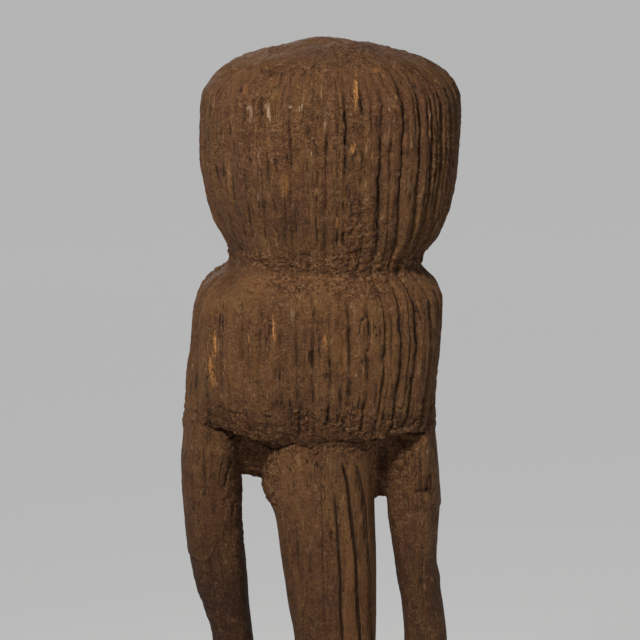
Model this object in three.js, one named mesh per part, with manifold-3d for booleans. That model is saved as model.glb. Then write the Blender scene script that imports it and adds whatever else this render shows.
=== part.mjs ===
// A standing shrine figure carved from one log of hardwood and deeply weathered: a large furrowed head without
// features, a furrowed shoulder mass, a slim trunk with both arms carved free of it, hips that carry the hands,
// two short legs and a low round base. Everything is one piece of wood.
// Millimetres, +Z up, the figure looks along -Y, and the origin is under the middle of it on the ground.

import * as THREE from "three";
import Module from "manifold-3d";

// ---------------------------------------------------------------- named sizes

const HEIGHT = 800; // crown of the head above the ground
const NECK_Z = 633; // the crease between head and shoulders
const LEDGE_Z = 510; // the lower edge of the shoulder mass in front
const CROTCH_Z = 205; // where the legs part
const BASE_HEIGHT = 40;

const FURROW_PITCH = 13; // from one furrow to the next, measured along the outline
const FURROW_DEPTH = 3.6; // the deepest of them, on the figure's left side
const CRACK_DEPTH = 4; // the three long cracks down the trunk
const LIMB_FURROWS = 10;

// Directions of the furrows that show from in front, in degrees; -90 is straight ahead. Those behind them follow
// at the pitch.
const HEAD_FURROWS = [
  -155, -147, -138, -130, -122, -115, -107.5, -99, -90, -81, -72, -63.5, -53, -45, -38.5, -32.5, -25.5, -19,
];
const BLOCK_FURROWS = [
  -158, -149, -140, -129, -119, -108.5, -99.5, -90, -80, -69.5, -60, -52, -43, -35, -26, -18,
];
const TRUNK_FURROWS = [-150, -133, -118, -99, -80.5, -64, -47, -24];
const TRUNK_CRACKS = [4, 5, 6]; // which of the trunk's furrows are cracks

const HEAD_SQUARENESS = 2.5; // superellipse exponents of the level sections
const BLOCK_SQUARENESS = 2.7;
const TRUNK_SQUARENESS = 2.6;
const LIMB_SQUARENESS = 2.4;

// Each station is a level section: height, left, right, front, back.
const HEAD = [
  [616, -66, 76, -58, 52],
  [636, -69.5, 77, -61, 55],
  [653, -73, 88.5, -68, 63],
  [676, -81.5, 96.5, -76, 72],
  [707, -88, 102, -82.5, 80],
  [740, -88.5, 103.5, -84.5, 84],
  [757, -87.5, 103.5, -83, 83],
  [766, -83, 101, -79, 80],
  [774, -76, 94, -72, 74],
  [783, -64.5, 79, -61, 64],
  [791, -43, 58, -44, 47],
  [797, -17, 31, -22, 24],
];
const HEAD_AXIS = [4.5, 0]; // the furrows of the head fan out from here
const BLOCK = [
  [LEDGE_Z - 5, -102.5, 84.5, -60, 56],
  [LEDGE_Z + 2, -102.5, 87, -66, 60],
  [524, -101, 87, -71, 63],
  [548, -99.5, 88, -75, 67],
  [575, -96, 90.5, -77, 69],
  [594, -95, 91.5, -76.5, 69],
  [608, -92, 91.5, -74, 67],
  [617, -88.5, 89, -71, 64],
  [625, -82, 82, -65, 58],
  [NECK_Z, -71.5, 74, -59, 53],
  [640, -64, 66, -52, 46],
];
const BLOCK_AXIS = [-5, -4];
// The back of the shoulder mass runs further down than its front and closes the tops of the two openings, a
// little lower on the figure's left.
const APRON = [
  [464, -84, 74, -18, 38],
  [476, -93, 82, -24, 50],
  [524, -97, 84, -28, 58],
];
const APRON_TILT = 0.17; // fall of its lower edge from the figure's right to its left
const TRUNK = [
  [204, -30, 42, -32, 32],
  [222, -42, 55, -47, 46],
  [250, -50, 63, -54, 52],
  [272, -42, 55, -52, 47],
  [292, -26, 44, -47, 38],
  [312, -19.5, 41, -45, 34],
  [342, -19, 42.5, -47, 33],
  [372, -24, 43, -50, 33],
  [414, -29.5, 42.5, -54, 34],
  [442, -33.5, 41.5, -57, 35],
  [470, -42.5, 41, -60, 37],
  [524, -46, 42, -64, 40],
];
// Limbs: height, middle x, half width, middle y, half depth.
const ARM_RIGHT = [
  [234, -50, 9, -5, 12],
  [250, -54, 14.5, -6, 20],
  [275, -58.5, 15.5, -8, 21],
  [300, -62.5, 14.5, -9, 19],
  [342, -66.2, 15, -8, 21],
  [358, -68.6, 15.6, -7, 23],
  [372, -71.5, 17, -6, 25],
  [388, -75.3, 19.5, -5, 28],
  [414, -79, 20.8, -6, 28],
  [442, -81, 21.5, -7, 31],
  [470, -82, 22, -8, 35],
  [530, -79, 22, -4, 38],
];
const ARM_LEFT = [
  [234, 64, 9, -3, 12],
  [250, 68, 14.5, -4, 20],
  [275, 75, 15.5, -6, 21],
  [300, 79, 15, -8, 19],
  [342, 80.2, 15.2, -8, 21],
  [372, 77.6, 14.8, -6, 24],
  [400, 73.4, 15.4, -5, 26],
  [428, 71.8, 17.5, -6, 28],
  [452, 71.3, 20, -6, 31],
  [470, 69.5, 20.3, -6, 34],
  [530, 66, 19.5, -3, 36],
];
const LEG = [
  [BASE_HEIGHT - 8, 37.5, 31, -4, 38],
  [BASE_HEIGHT + 5, 37, 30, -4, 37],
  [60, 36, 24, 0, 26],
  [90, 34.5, 23.5, 2, 25],
  [125, 33, 26, 2, 28],
  [160, 31.5, 25, -3, 29],
  [195, 30.5, 27.5, -3, 35],
  [235, 28, 28, -1, 42],
];
const LEG_MIDDLE_X = 6; // the two legs stand either side of this
const BASE = [
  [0, -84, 93, -80, 80],
  [7, -87, 96, -83, 83],
  [30, -86, 94, -82, 82],
  [BASE_HEIGHT, -80, 88, -76, 76],
];

// ---------------------------------------------------------------- small helpers

const TAU = Math.PI * 2;
const clamp = (x, lo, hi) => Math.min(hi, Math.max(lo, x));
const ease = (lo, hi, x) => {
  const t = clamp((x - lo) / (hi - lo), 0, 1);
  return t * t * (3 - 2 * t);
};
// A repeatable number from 0 to 1.
const scatter = (n, salt) => {
  const s = Math.sin(n * 127.1 + salt * 311.7) * 43758.5453;
  return s - Math.floor(s);
};

// A smooth curve through the stations that never swings past them.
function curve(xs, ys) {
  const n = xs.length;
  const step = xs.slice(1).map((x, i) => x - xs[i]);
  const slope = step.map((h, i) => (ys[i + 1] - ys[i]) / h);
  const tangent = xs.map((_, i) => {
    if (i === 0) return slope[0];
    if (i === n - 1) return slope[n - 2];
    if (slope[i - 1] * slope[i] <= 0) return 0;
    const w1 = 2 * step[i] + step[i - 1];
    const w2 = step[i] + 2 * step[i - 1];
    return (w1 + w2) / (w1 / slope[i - 1] + w2 / slope[i]);
  });
  return (x) => {
    let i = 0;
    while (i < n - 2 && x > xs[i + 1]) i += 1;
    const h = step[i];
    const t = clamp((x - xs[i]) / h, 0, 1);
    const t2 = t * t;
    const t3 = t2 * t;
    return (
      (2 * t3 - 3 * t2 + 1) * ys[i] +
      (t3 - 2 * t2 + t) * h * tangent[i] +
      (3 * t2 - 2 * t3) * ys[i + 1] +
      (t3 - t2) * h * tangent[i + 1]
    );
  };
}

const columns = (stations) => {
  const z = stations.map((s) => s[0]);
  return [1, 2, 3, 4].map((i) =>
    curve(
      z,
      stations.map((s) => s[i]),
    ),
  );
};

// The level section of a form at any height: a point inside it, and how far it reaches from there each way. The
// point is the section's middle, or lies on an upright axis.
function massForm(stations, axis) {
  const [left, right, front, back] = columns(stations);
  return (h) => {
    const x = axis ? axis[0] : (left(h) + right(h)) / 2;
    const y = axis ? axis[1] : (front(h) + back(h)) / 2;
    return {
      x,
      y,
      left: x - left(h),
      right: right(h) - x,
      front: y - front(h),
      back: back(h) - y,
    };
  };
}
function limbForm(stations, side = 1, offset = 0) {
  const [x, a, y, b] = columns(stations);
  return (h) => ({
    x: offset + side * x(h),
    y: y(h),
    left: a(h),
    right: a(h),
    front: b(h),
    back: b(h),
  });
}

// How far a section reaches in direction t: a superellipse with its own half size on each side.
const reach = (s, n, t) => {
  const c = Math.cos(t) / (Math.cos(t) > 0 ? s.right : s.left);
  const d = Math.sin(t) / (Math.sin(t) > 0 ? s.back : s.front);
  return (Math.abs(c) ** n + Math.abs(d) ** n) ** (-1 / n);
};

// Evenly spaced heights, both ends included.
const heights = (from, to, count) =>
  Array.from({ length: count }, (_, i) => from + ((to - from) * i) / (count - 1));

// The directions of a furrowed section: the bottom of each furrow, and the ridge halfway to the next one. The
// furrows in the list come first, and the rest of the way round is filled at the pitch.
function furrowed(degrees, section, squareness, salt) {
  const shown = degrees.map((d) => (d * Math.PI) / 180);
  const from = shown[shown.length - 1];
  const sweep = TAU - (from - shown[0]);
  const walk = [0];
  const spot = (t) => {
    const r = reach(section, squareness, t);
    return [r * Math.cos(t), r * Math.sin(t)];
  };
  const slices = 400;
  for (let i = 1; i <= slices; i += 1) {
    const [x0, y0] = spot(from + (sweep * (i - 1)) / slices);
    const [x1, y1] = spot(from + (sweep * i) / slices);
    walk.push(walk[i - 1] + Math.hypot(x1 - x0, y1 - y0));
  }
  const rest = Math.round(walk[slices] / FURROW_PITCH);
  const filled = [];
  for (let k = 1; k < rest; k += 1) {
    const way = (walk[slices] * (k + 0.36 * (scatter(k, salt) - 0.5))) / rest;
    let i = 1;
    while (walk[i] < way) i += 1;
    const part = (way - walk[i - 1]) / (walk[i] - walk[i - 1]);
    filled.push(from + (sweep * (i - 1 + part)) / slices);
  }
  return ridged([...shown, ...filled]);
}
const ridged = (bottoms) =>
  bottoms.flatMap((t, k) => {
    const next = k + 1 < bottoms.length ? bottoms[k + 1] : bottoms[0] + TAU;
    return [
      { t, furrow: k },
      { t: (t + next) / 2, furrow: -1 },
    ];
  });
const fluted = (count, salt) =>
  ridged(
    Array.from(
      { length: count },
      (_, k) => (TAU * (k + 0.42 * (scatter(k, salt) - 0.5))) / count,
    ),
  );
const plain = (count) =>
  Array.from({ length: count }, (_, k) => ({
    t: (TAU * (k + 0.5)) / count,
    furrow: -1,
  }));

// A closed body of level sections: one ring of points for each height, and a point in the middle of each end.
// relief sinks a point below the section's outline, and lift moves it up or down.
function stack({ form, squareness, levels, directions, relief, lift, low, high }) {
  const points = [];
  for (const h of levels) {
    const s = form(h);
    for (const d of directions) {
      const full = reach(s, squareness, d.t);
      const r = full - Math.min(relief ? relief(d, h, full) : 0, full * 0.3);
      const x = s.x + r * Math.cos(d.t);
      const y = s.y + r * Math.sin(d.t);
      points.push(x, y, h + (lift ? lift(d, h, x) : 0));
    }
  }
  const n = directions.length;
  const rows = levels.length;
  const end = points.length / 3;
  const first = form(levels[0]);
  const last = form(levels[rows - 1]);
  points.push(first.x, first.y, low, last.x, last.y, high);
  const faces = [];
  for (let j = 0; j < rows - 1; j += 1) {
    for (let k = 0; k < n; k += 1) {
      const a = j * n + k;
      const b = j * n + ((k + 1) % n);
      faces.push(a, b, b + n, a, b + n, a + n);
    }
  }
  const top = (rows - 1) * n;
  for (let k = 0; k < n; k += 1) {
    faces.push(end, (k + 1) % n, k);
    faces.push(end + 1, top + k, top + ((k + 1) % n));
  }
  const geometry = new THREE.BufferGeometry();
  geometry.setAttribute("position", new THREE.Float32BufferAttribute(points, 3));
  geometry.setIndex(faces);
  return geometry;
}

// ---------------------------------------------------------------- weathering cut into the form

// Furrows are deepest on the figure's left and front left, and shallow on its right and at its back.
const sideStrength = (t) => 0.42 + 0.58 * ease(-0.4, 0.65, Math.cos(t + 0.55));

const headRelief = (d, h, full) =>
  d.furrow < 0
    ? 0
    : FURROW_DEPTH * sideStrength(d.t) * (0.7 + 0.5 * scatter(d.furrow, 3)) * ease(14, 70, full);
const blockRelief = (d, h) =>
  d.furrow < 0
    ? 0
    : FURROW_DEPTH *
      sideStrength(d.t) *
      (0.7 + 0.5 * scatter(d.furrow, 5)) *
      ease(LEDGE_Z - 12, LEDGE_Z + 12, h) *
      (1 - 0.6 * ease(600, 628, h));
const trunkRelief = (d) => {
  if (d.furrow < 0) return 0;
  return TRUNK_CRACKS.includes(d.furrow) ? CRACK_DEPTH : 0.8 + scatter(d.furrow, 7);
};
const limbRelief = (salt) => (d) => (d.furrow < 0 ? 0 : 1.2 * (0.5 + scatter(d.furrow, salt)));

// The ledge under the shoulder mass runs unevenly.
const ledgeLift = (d, h) =>
  h > LEDGE_Z + 5 ? 0 : 1.2 * Math.sin(4 * d.t + 0.7) + 0.9 * Math.sin(9 * d.t + 2);
const apronLift = (d, h, x) => (h > 500 ? 0 : -APRON_TILT * (x + 4));

// ---------------------------------------------------------------- the parts of the one carving

const forms = [
  stack({
    form: massForm(HEAD, HEAD_AXIS),
    squareness: HEAD_SQUARENESS,
    levels: [616, ...heights(636, 757, 7), 765, 773, 782, 790, 796.5],
    directions: furrowed(HEAD_FURROWS, massForm(HEAD, HEAD_AXIS)(740), HEAD_SQUARENESS, 1),
    relief: headRelief,
    low: 616,
    high: HEIGHT,
  }),
  stack({
    form: massForm(BLOCK, BLOCK_AXIS),
    squareness: BLOCK_SQUARENESS,
    levels: [LEDGE_Z - 5, LEDGE_Z + 2, 524, 548, 580, 605, 617, 626, NECK_Z, 640],
    directions: furrowed(BLOCK_FURROWS, massForm(BLOCK, BLOCK_AXIS)(560), BLOCK_SQUARENESS, 2),
    relief: blockRelief,
    lift: ledgeLift,
    low: LEDGE_Z - 5,
    high: 640,
  }),
  stack({
    form: massForm(APRON),
    squareness: BLOCK_SQUARENESS,
    levels: [464, 476, 524],
    directions: plain(30),
    lift: apronLift,
    low: 464,
    high: 524,
  }),
  stack({
    form: massForm(TRUNK),
    squareness: TRUNK_SQUARENESS,
    levels: [204, 212, 224, 250, 264, 278, 294, 312, 342, 380, 414, 446, 470, 524],
    directions: furrowed(TRUNK_FURROWS, massForm(TRUNK)(414), TRUNK_SQUARENESS, 4),
    relief: trunkRelief,
    low: 204,
    high: 524,
  }),
  stack({
    form: limbForm(ARM_RIGHT),
    squareness: LIMB_SQUARENESS,
    levels: [234, 241, 254, 275, 300, 342, 360, 388, 414, 442, 470, 500, 530],
    directions: fluted(LIMB_FURROWS, 6),
    relief: limbRelief(8),
    low: 231,
    high: 530,
  }),
  stack({
    form: limbForm(ARM_LEFT),
    squareness: LIMB_SQUARENESS,
    levels: [234, 241, 254, 275, 300, 342, 372, 400, 428, 452, 470, 500, 530],
    directions: fluted(LIMB_FURROWS, 9),
    relief: limbRelief(10),
    low: 231,
    high: 530,
  }),
  ...[-1, 1].map((side) =>
    stack({
      form: limbForm(LEG, side, LEG_MIDDLE_X),
      squareness: LIMB_SQUARENESS,
      levels: [BASE_HEIGHT - 8, BASE_HEIGHT + 5, 60, 90, 125, 160, 185, CROTCH_Z, 235],
      directions: fluted(LIMB_FURROWS, 11 + side),
      relief: limbRelief(12 + side),
      low: BASE_HEIGHT - 8,
      high: 235,
    }),
  ),
  stack({
    form: massForm(BASE),
    squareness: LIMB_SQUARENESS,
    levels: [0, 7, 18, 30, BASE_HEIGHT],
    directions: fluted(18, 15),
    relief: (d) => (d.furrow < 0 ? 0 : 1.4 * scatter(d.furrow, 16)),
    low: 0,
    high: BASE_HEIGHT,
  }),
];

// ---------------------------------------------------------------- joined into one solid

const wasm = await Module();
wasm.setup();

const toSolid = (geometry) =>
  new wasm.Manifold(
    new wasm.Mesh({
      numProp: 3,
      vertProperties: geometry.getAttribute("position").array,
      triVerts: new Uint32Array(geometry.index.array),
    }),
  );

function toGeometry(solid) {
  const mesh = solid.getMesh();
  const points = new Float32Array(mesh.numVert * 3);
  for (let i = 0; i < mesh.numVert; i += 1) {
    const at = i * mesh.numProp;
    points.set(mesh.vertProperties.subarray(at, at + 3), i * 3);
  }
  const geometry = new THREE.BufferGeometry();
  geometry.setAttribute("position", new THREE.BufferAttribute(points, 3));
  geometry.setIndex(new THREE.BufferAttribute(mesh.triVerts.slice(), 1));
  geometry.computeVertexNormals();
  return geometry;
}

const carving = forms.map(toSolid).reduce((whole, next) => whole.add(next));

const wood = new THREE.MeshStandardMaterial({
  color: new THREE.Color(0.36, 0.23, 0.14),
  roughness: 0.8,
  metalness: 0,
});

const figure = new THREE.Mesh(toGeometry(carving), wood);
figure.name = "carved_figure";

const group = new THREE.Group();
group.add(figure);
export default group;
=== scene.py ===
"""The finish of a weathered figure carved from one log of hardwood: its whole surface as one mesh, with the adze
furrows, cracks, crust, chips and grain, and its dry brown patina.

The form is worked out in millimetres from the same level sections as the solid it stands for, joined softly where
the carver's cuts run together, and the relief is then cut into it along the surface's own direction.
+Z up, the figure looks along -Y.
"""

import math

import bmesh
import bpy
import numpy as np
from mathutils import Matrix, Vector


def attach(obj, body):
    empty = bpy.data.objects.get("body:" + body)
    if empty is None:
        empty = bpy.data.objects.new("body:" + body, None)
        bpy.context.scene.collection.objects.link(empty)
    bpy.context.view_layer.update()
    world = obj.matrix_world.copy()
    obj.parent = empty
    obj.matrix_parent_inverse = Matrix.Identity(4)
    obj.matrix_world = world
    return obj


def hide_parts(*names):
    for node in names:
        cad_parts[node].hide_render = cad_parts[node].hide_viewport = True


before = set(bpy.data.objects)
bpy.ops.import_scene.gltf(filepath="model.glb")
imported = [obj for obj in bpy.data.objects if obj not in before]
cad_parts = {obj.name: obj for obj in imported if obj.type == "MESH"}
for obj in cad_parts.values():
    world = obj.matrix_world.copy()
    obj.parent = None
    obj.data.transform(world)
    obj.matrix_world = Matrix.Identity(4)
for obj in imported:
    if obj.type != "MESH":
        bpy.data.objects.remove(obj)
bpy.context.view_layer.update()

# ------------------------------------------------------------------------------------------------ named sizes, mm

HEIGHT = 800.0
NECK_Z = 633.0
LEDGE_Z = 509.0
BASE_HEIGHT = 40.0
FURROW_PITCH = 13.0
TARGET_TRIANGLES = 197000
HIDDEN_TRIANGLES = 74000

# Directions of the furrows that show from in front, in degrees; -90 is straight ahead.
HEAD_FURROWS = [-155, -147, -138, -130, -122, -115, -107.5, -99, -90, -81, -72, -63.5, -53, -45, -38.5, -32.5, -25.5, -19]
BLOCK_FURROWS = [-158, -149, -140, -129, -119, -108.5, -99.5, -90, -80, -69.5, -60, -52, -43, -35, -26, -18]

HEAD_SQUARENESS = 2.5
BLOCK_SQUARENESS = 2.7
TRUNK_SQUARENESS = 2.9
ARM_SQUARENESS = 2.8
LIMB_SQUARENESS = 2.4

# Each station is a level section: height, left, right, front, back.
HEAD = [
    (616, -66, 76, -58, 52),
    (636, -69.5, 77, -61, 55),
    (653, -73, 88.5, -68, 63),
    (676, -81.5, 96.5, -76, 72),
    (707, -88, 102, -82.5, 80),
    (740, -88.5, 103.5, -84.5, 84),
    (757, -87.5, 103.5, -83, 83),
    (766, -83, 100.5, -79, 79),
    (774, -76.5, 94, -72, 73),
    (783, -64, 78.5, -60, 62),
    (789, -46.5, 61, -44, 47),
    (793.4, -30, 45, -30, 32),
    (797, -16, 25, -15, 17),
    (799.2, -9, 13.5, -9, 10),
    (800, -4, 9, -5, 6),
    (800.4, 3.8, 4.6, -0.4, 0.4),
]
HEAD_AXIS = (4.5, 0.0)
BLOCK = [
    (500, -101.5, 82, -57, 55),
    (505, -102.5, 84.5, -61, 56),
    (512, -102.5, 87, -66.5, 60),
    (524, -101, 87, -71, 63),
    (548, -99.5, 88, -75, 67),
    (575, -96, 90.5, -77, 69),
    (594, -95, 91.5, -76.5, 69),
    (608, -92, 91.5, -74, 67),
    (617, -88.5, 89, -71, 64),
    (625, -82, 82, -65, 58),
    (633, -71.5, 74, -59, 53),
    (640, -64, 66, -52, 46),
]
BLOCK_AXIS = (-5.0, -4.0)
LEDGE_FRONT = [(-98, 517), (-85, 516.5), (-66, 514.2), (-45, 508.6), (-33, 507.4), (-18, 509.5), (0, 510.7), (20, 507.8), (37, 508.4), (55, 509.9), (70, 510.8), (78, 508.8), (90, 507)]
APRON = [(464, -84, 74, -23, 38), (476, -93, 82, -33, 50), (496, -95, 83, -41, 54), (510, -96, 83.5, -50, 56), (524, -97, 84, -60, 58)]
APRON_TILT = 0.17
TRUNK = [
    (204, -30, 42, -32, 32),
    (222, -42, 55, -47, 46),
    (250, -50, 63, -54, 52),
    (272, -42, 55, -52, 47),
    (292, -26, 44, -47, 38),
    (312, -19.5, 41, -45, 34),
    (342, -19, 42.5, -47, 33),
    (372, -24, 43, -50, 33),
    (414, -29.5, 42.5, -54, 34),
    (442, -33.5, 41.5, -57, 35),
    (470, -42.5, 41, -60, 37),
    (524, -46, 42, -64, 40),
]
# Limbs: height, middle x, half width, middle y, half depth.
ARM_RIGHT = [
    (234, -50, 9, -5, 12),
    (250, -54, 14.5, -6, 20),
    (275, -58.5, 15.5, -8, 21),
    (300, -62.5, 14.5, -9, 19),
    (342, -66.2, 15, -8, 21),
    (358, -68.6, 15.6, -7, 23),
    (372, -71.5, 17, -6, 25),
    (388, -75.3, 19.5, -5, 28),
    (414, -79, 20.8, -6, 28),
    (442, -81, 21.5, -7, 31),
    (470, -82, 22, -8.5, 35.5),
    (490, -82, 22, -11, 39),
    (506, -81.5, 21.8, -13, 41),
    (518, -79.5, 21, -10, 36),
    (530, -76, 19, -6, 28),
]
ARM_LEFT = [
    (234, 64, 9, -3, 12),
    (250, 68, 14.5, -4, 20),
    (275, 75, 15.5, -6, 21),
    (300, 79, 15, -8, 19),
    (342, 80.2, 15.2, -8, 21),
    (372, 77.6, 14.8, -6, 24),
    (400, 73.4, 15.4, -5, 26),
    (428, 71.8, 17.5, -6, 28),
    (452, 71.3, 20, -6, 31),
    (470, 69.5, 20.3, -6, 34),
    (530, 66, 19.5, -3, 36),
]
LEG = [
    (32, 37.5, 31, -4, 38),
    (45, 37, 30, -4, 37),
    (60, 36, 24, 0, 26),
    (90, 34.5, 23.5, 2, 25),
    (125, 33, 26, 2, 28),
    (160, 31.5, 25, -3, 29),
    (195, 30.5, 27.5, -3, 35),
    (235, 28, 28, -1, 42),
]
LEG_MIDDLE_X = 6.0
BASE = [(0, -84, 93, -80, 80), (7, -87, 96, -83, 83), (30, -86, 94, -82, 82), (40, -80, 88, -76, 76)]

# The three long cracks down the front of the trunk: height and x, from the top down, with width and depth.
CRACKS = [
    ([(478, 8.0), (457, 11.6), (438, 12.8), (418, 14.1), (399, 15.4), (379, 15.2), (361, 16.4), (330, 17.5), (300, 18.5)], 0.75, 3.0),
    ([(492, 16.2), (472, 20.7), (456, 22.2), (437, 24.5), (417, 26.8), (398, 27.6), (378, 28.4), (360, 29.9), (330, 31), (296, 31.5)], 0.85, 4.3),
    ([(491, 26.5), (470, 31.2), (454, 33.5), (434, 35.0), (415, 36.6), (395, 38.2), (375, 38.3), (357, 39.1), (330, 39.5), (292, 39.5)], 0.85, 4.3),
]
FAINT_CRACKS = [
    ([(478, 0.2), (455, 1.5), (420, 2.2), (385, 3.0), (355, 3.8)], 0.9, 0.7),
    ([(404, -9.2), (388, -9.4), (372, -12.6), (350, -13.0)], 1.0, 1.1),
    ([(462, -20.0), (430, -17.0), (395, -14.5)], 0.9, 0.6),
    ([(450, 7.5), (441, 8.6), (432, 9.2)], 1.0, 1.5),
]

# ------------------------------------------------------------------------------------------------ small helpers


def scatter(n, salt):
    """A repeatable number from 0 to 1."""
    s = np.sin(np.asarray(n, float) * 127.1 + salt * 311.7) * 43758.5453
    return s - np.floor(s)


def ease(lo, hi, x):
    t = np.clip((x - lo) / (hi - lo), 0.0, 1.0)
    return t * t * (3 - 2 * t)


def bump_at(x, middle, width):
    return np.exp(-(((x - middle) / width) ** 2))


def _hash(ix, iy, iz, seed):
    h = ix * np.uint32(0x8DA6B343) + iy * np.uint32(0xD8163841) + iz * np.uint32(0xCB1AB31F) + np.uint32((seed * 0x9E3779B9) & 0xFFFFFFFF)
    h ^= h >> np.uint32(13)
    h *= np.uint32(0x5BD1E995)
    h ^= h >> np.uint32(15)
    h *= np.uint32(0x2C1B3C6D)
    h ^= h >> np.uint32(12)
    return h.astype(np.float32) * np.float32(1.0 / 4294967296.0)


def noise(x, y, z, seed):
    """Smooth repeatable noise from -1 to 1, one cell for each unit."""
    fx, fy, fz = np.floor(x), np.floor(y), np.floor(z)
    ix, iy, iz = (a.astype(np.int64).astype(np.uint32) for a in (fx, fy, fz))
    tx, ty, tz = ((a - b).astype(np.float32) for a, b in ((x, fx), (y, fy), (z, fz)))
    tx, ty, tz = (t * t * (3 - 2 * t) for t in (tx, ty, tz))
    one = np.uint32(1)
    out = 0
    for dz, wz in ((0, 1 - tz), (1, tz)):
        for dy, wy in ((0, 1 - ty), (1, ty)):
            a = _hash(ix, iy + one * np.uint32(dy), iz + one * np.uint32(dz), seed)
            b = _hash(ix + one, iy + one * np.uint32(dy), iz + one * np.uint32(dz), seed)
            out = out + (a + (b - a) * tx) * wy * wz
    return out * 2 - 1


def layered(x, y, z, seed, octaves=3, gain=0.5):
    out, size, total = 0, 1.0, 0.0
    for k in range(octaves):
        out = out + noise(x * 2**k, y * 2**k, z * 2**k, seed + 17 * k) * size
        total += size
        size *= gain
    return out / total


# ------------------------------------------------------------------------------------------------ the form

TABLE_LOW, TABLE_STEP = -12.0, 0.25
TABLE_Z = np.arange(TABLE_LOW, 815.0, TABLE_STEP)


def curve(xs, ys, x):
    """A smooth curve through the stations that never swings past them, held level beyond its ends."""
    xs, ys = np.asarray(xs, float), np.asarray(ys, float)
    step = np.diff(xs)
    slope = np.diff(ys) / step
    tangent = np.empty(len(xs))
    tangent[0], tangent[-1] = slope[0], slope[-1]
    w1, w2 = 2 * step[1:] + step[:-1], step[1:] + 2 * step[:-1]
    with np.errstate(divide="ignore", invalid="ignore"):
        inner = (w1 + w2) / (w1 / slope[:-1] + w2 / slope[1:])
    tangent[1:-1] = np.where(slope[:-1] * slope[1:] <= 0, 0, inner)
    x = np.clip(x, xs[0], xs[-1])
    i = np.clip(np.searchsorted(xs, x, side="right") - 1, 0, len(step) - 1)
    h = step[i]
    t = (x - xs[i]) / h
    t2, t3 = t * t, t * t * t
    return (2 * t3 - 3 * t2 + 1) * ys[i] + (t3 - 2 * t2 + t) * h * tangent[i] + (3 * t2 - 2 * t3) * ys[i + 1] + (t3 - t2) * h * tangent[i + 1]


class Form:
    """A stack of level sections, each a superellipse with its own half size on each side."""

    def __init__(self, stations, squareness, low, high, axis=None, limb=None, cap=0.0):
        z = [s[0] for s in stations]
        a, b, c, d = (curve(z, [s[i] for s in stations], TABLE_Z) for i in (1, 2, 3, 4))
        if limb is None:
            x = np.full_like(a, axis[0]) if axis else (a + b) / 2
            y = np.full_like(a, axis[1]) if axis else (c + d) / 2
            sizes = (x - a, b - x, y - c, d - y)
        else:
            side, offset = limb
            x, y = offset + side * a, c
            sizes = (b, b, d, d)
        sizes = [np.maximum(s, 0.05) for s in sizes]
        steep = np.sqrt(1 + np.gradient(sum(sizes) / 4, TABLE_STEP) ** 2)
        self.table = np.stack([x, y, *sizes, steep], axis=1)
        self.n, self.low, self.high, self.cap = squareness, low, high, cap

    def section(self, z):
        at = np.clip((z - TABLE_LOW) / TABLE_STEP, 0, len(TABLE_Z) - 1.001)
        i = at.astype(np.int64)
        t = (at - i)[:, None]
        return self.table[i] * (1 - t) + self.table[i + 1] * t

    def distance(self, x, y, z, low=None):
        """Roughly how far a point is outside the form; exact where it is zero."""
        row = self.section(z)
        dx, dy = x - row[:, 0], y - row[:, 1]
        a = np.abs(dx) / np.where(dx > 0, row[:, 3], row[:, 2])
        b = np.abs(dy) / np.where(dy > 0, row[:, 5], row[:, 4])
        rho = (a**self.n + b**self.n) ** (1 / self.n)
        far = np.hypot(dx, dy)
        small = row[:, 2:6].min(axis=1)
        with np.errstate(divide="ignore", invalid="ignore"):
            f = np.where(rho > 1e-3, far * (1 - 1 / np.maximum(rho, 1e-3)), -small)
        f = f / row[:, 6]
        bottom = (self.low if low is None else low) - z
        ends = np.maximum(bottom, z - self.high)
        return soft_max(f, ends, self.cap)


def soft_min(a, b, k):
    h = np.maximum(k - np.abs(a - b), 0.0) / k
    return np.minimum(a, b) - h * h * k * 0.25


def soft_max(a, b, k):
    if k <= 0:
        return np.maximum(a, b)
    return -soft_min(-a, -b, k)


FORMS = {
    "head": Form(HEAD, HEAD_SQUARENESS, 616, HEIGHT + 0.4, axis=HEAD_AXIS),
    "block": Form(BLOCK, BLOCK_SQUARENESS, LEDGE_Z, 640, axis=BLOCK_AXIS, cap=2.0),
    "apron": Form(APRON, BLOCK_SQUARENESS, 464, 524, cap=4.0),
    "trunk": Form(TRUNK, TRUNK_SQUARENESS, 204, 524, cap=6.0),
    "arm_right": Form(ARM_RIGHT, ARM_SQUARENESS, 231, 530, limb=(1, 0), cap=4.0),
    "arm_left": Form(ARM_LEFT, ARM_SQUARENESS, 231, 530, limb=(1, 0), cap=4.0),
    "leg_right": Form(LEG, LIMB_SQUARENESS, 32, 235, limb=(-1, LEG_MIDDLE_X)),
    "leg_left": Form(LEG, LIMB_SQUARENESS, 32, 235, limb=(1, LEG_MIDDLE_X)),
    "base": Form(BASE, LIMB_SQUARENESS, 0, BASE_HEIGHT, cap=1.5),
}
NAMES = list(FORMS)
REACH = 14.0  # a form is left out where it is further than this above or below a point


def ledge_height(x, y):
    """The ragged lower edge of the shoulder mass."""
    t = np.arctan2(y - BLOCK_AXIS[1], x - BLOCK_AXIS[0])
    c, s = np.cos(t), np.sin(t)
    wave = 1.2 * np.sin(4 * t + 0.7) + 0.9 * np.sin(9 * t + 2)
    rag = 1.3 * noise(c * 11, s * 11, t * 0, 71) + 1.0 * noise(c * 24, s * 24, t * 0, 72) + 0.7 * noise(c * 42, s * 42, t * 0, 73)
    ahead = np.interp(x, [q[0] for q in LEDGE_FRONT], [q[1] for q in LEDGE_FRONT])
    front = ease(-12, -34, y)
    return (LEDGE_Z + wave) * (1 - front) + ahead * front + rag * (1 - 0.35 * front)


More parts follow.
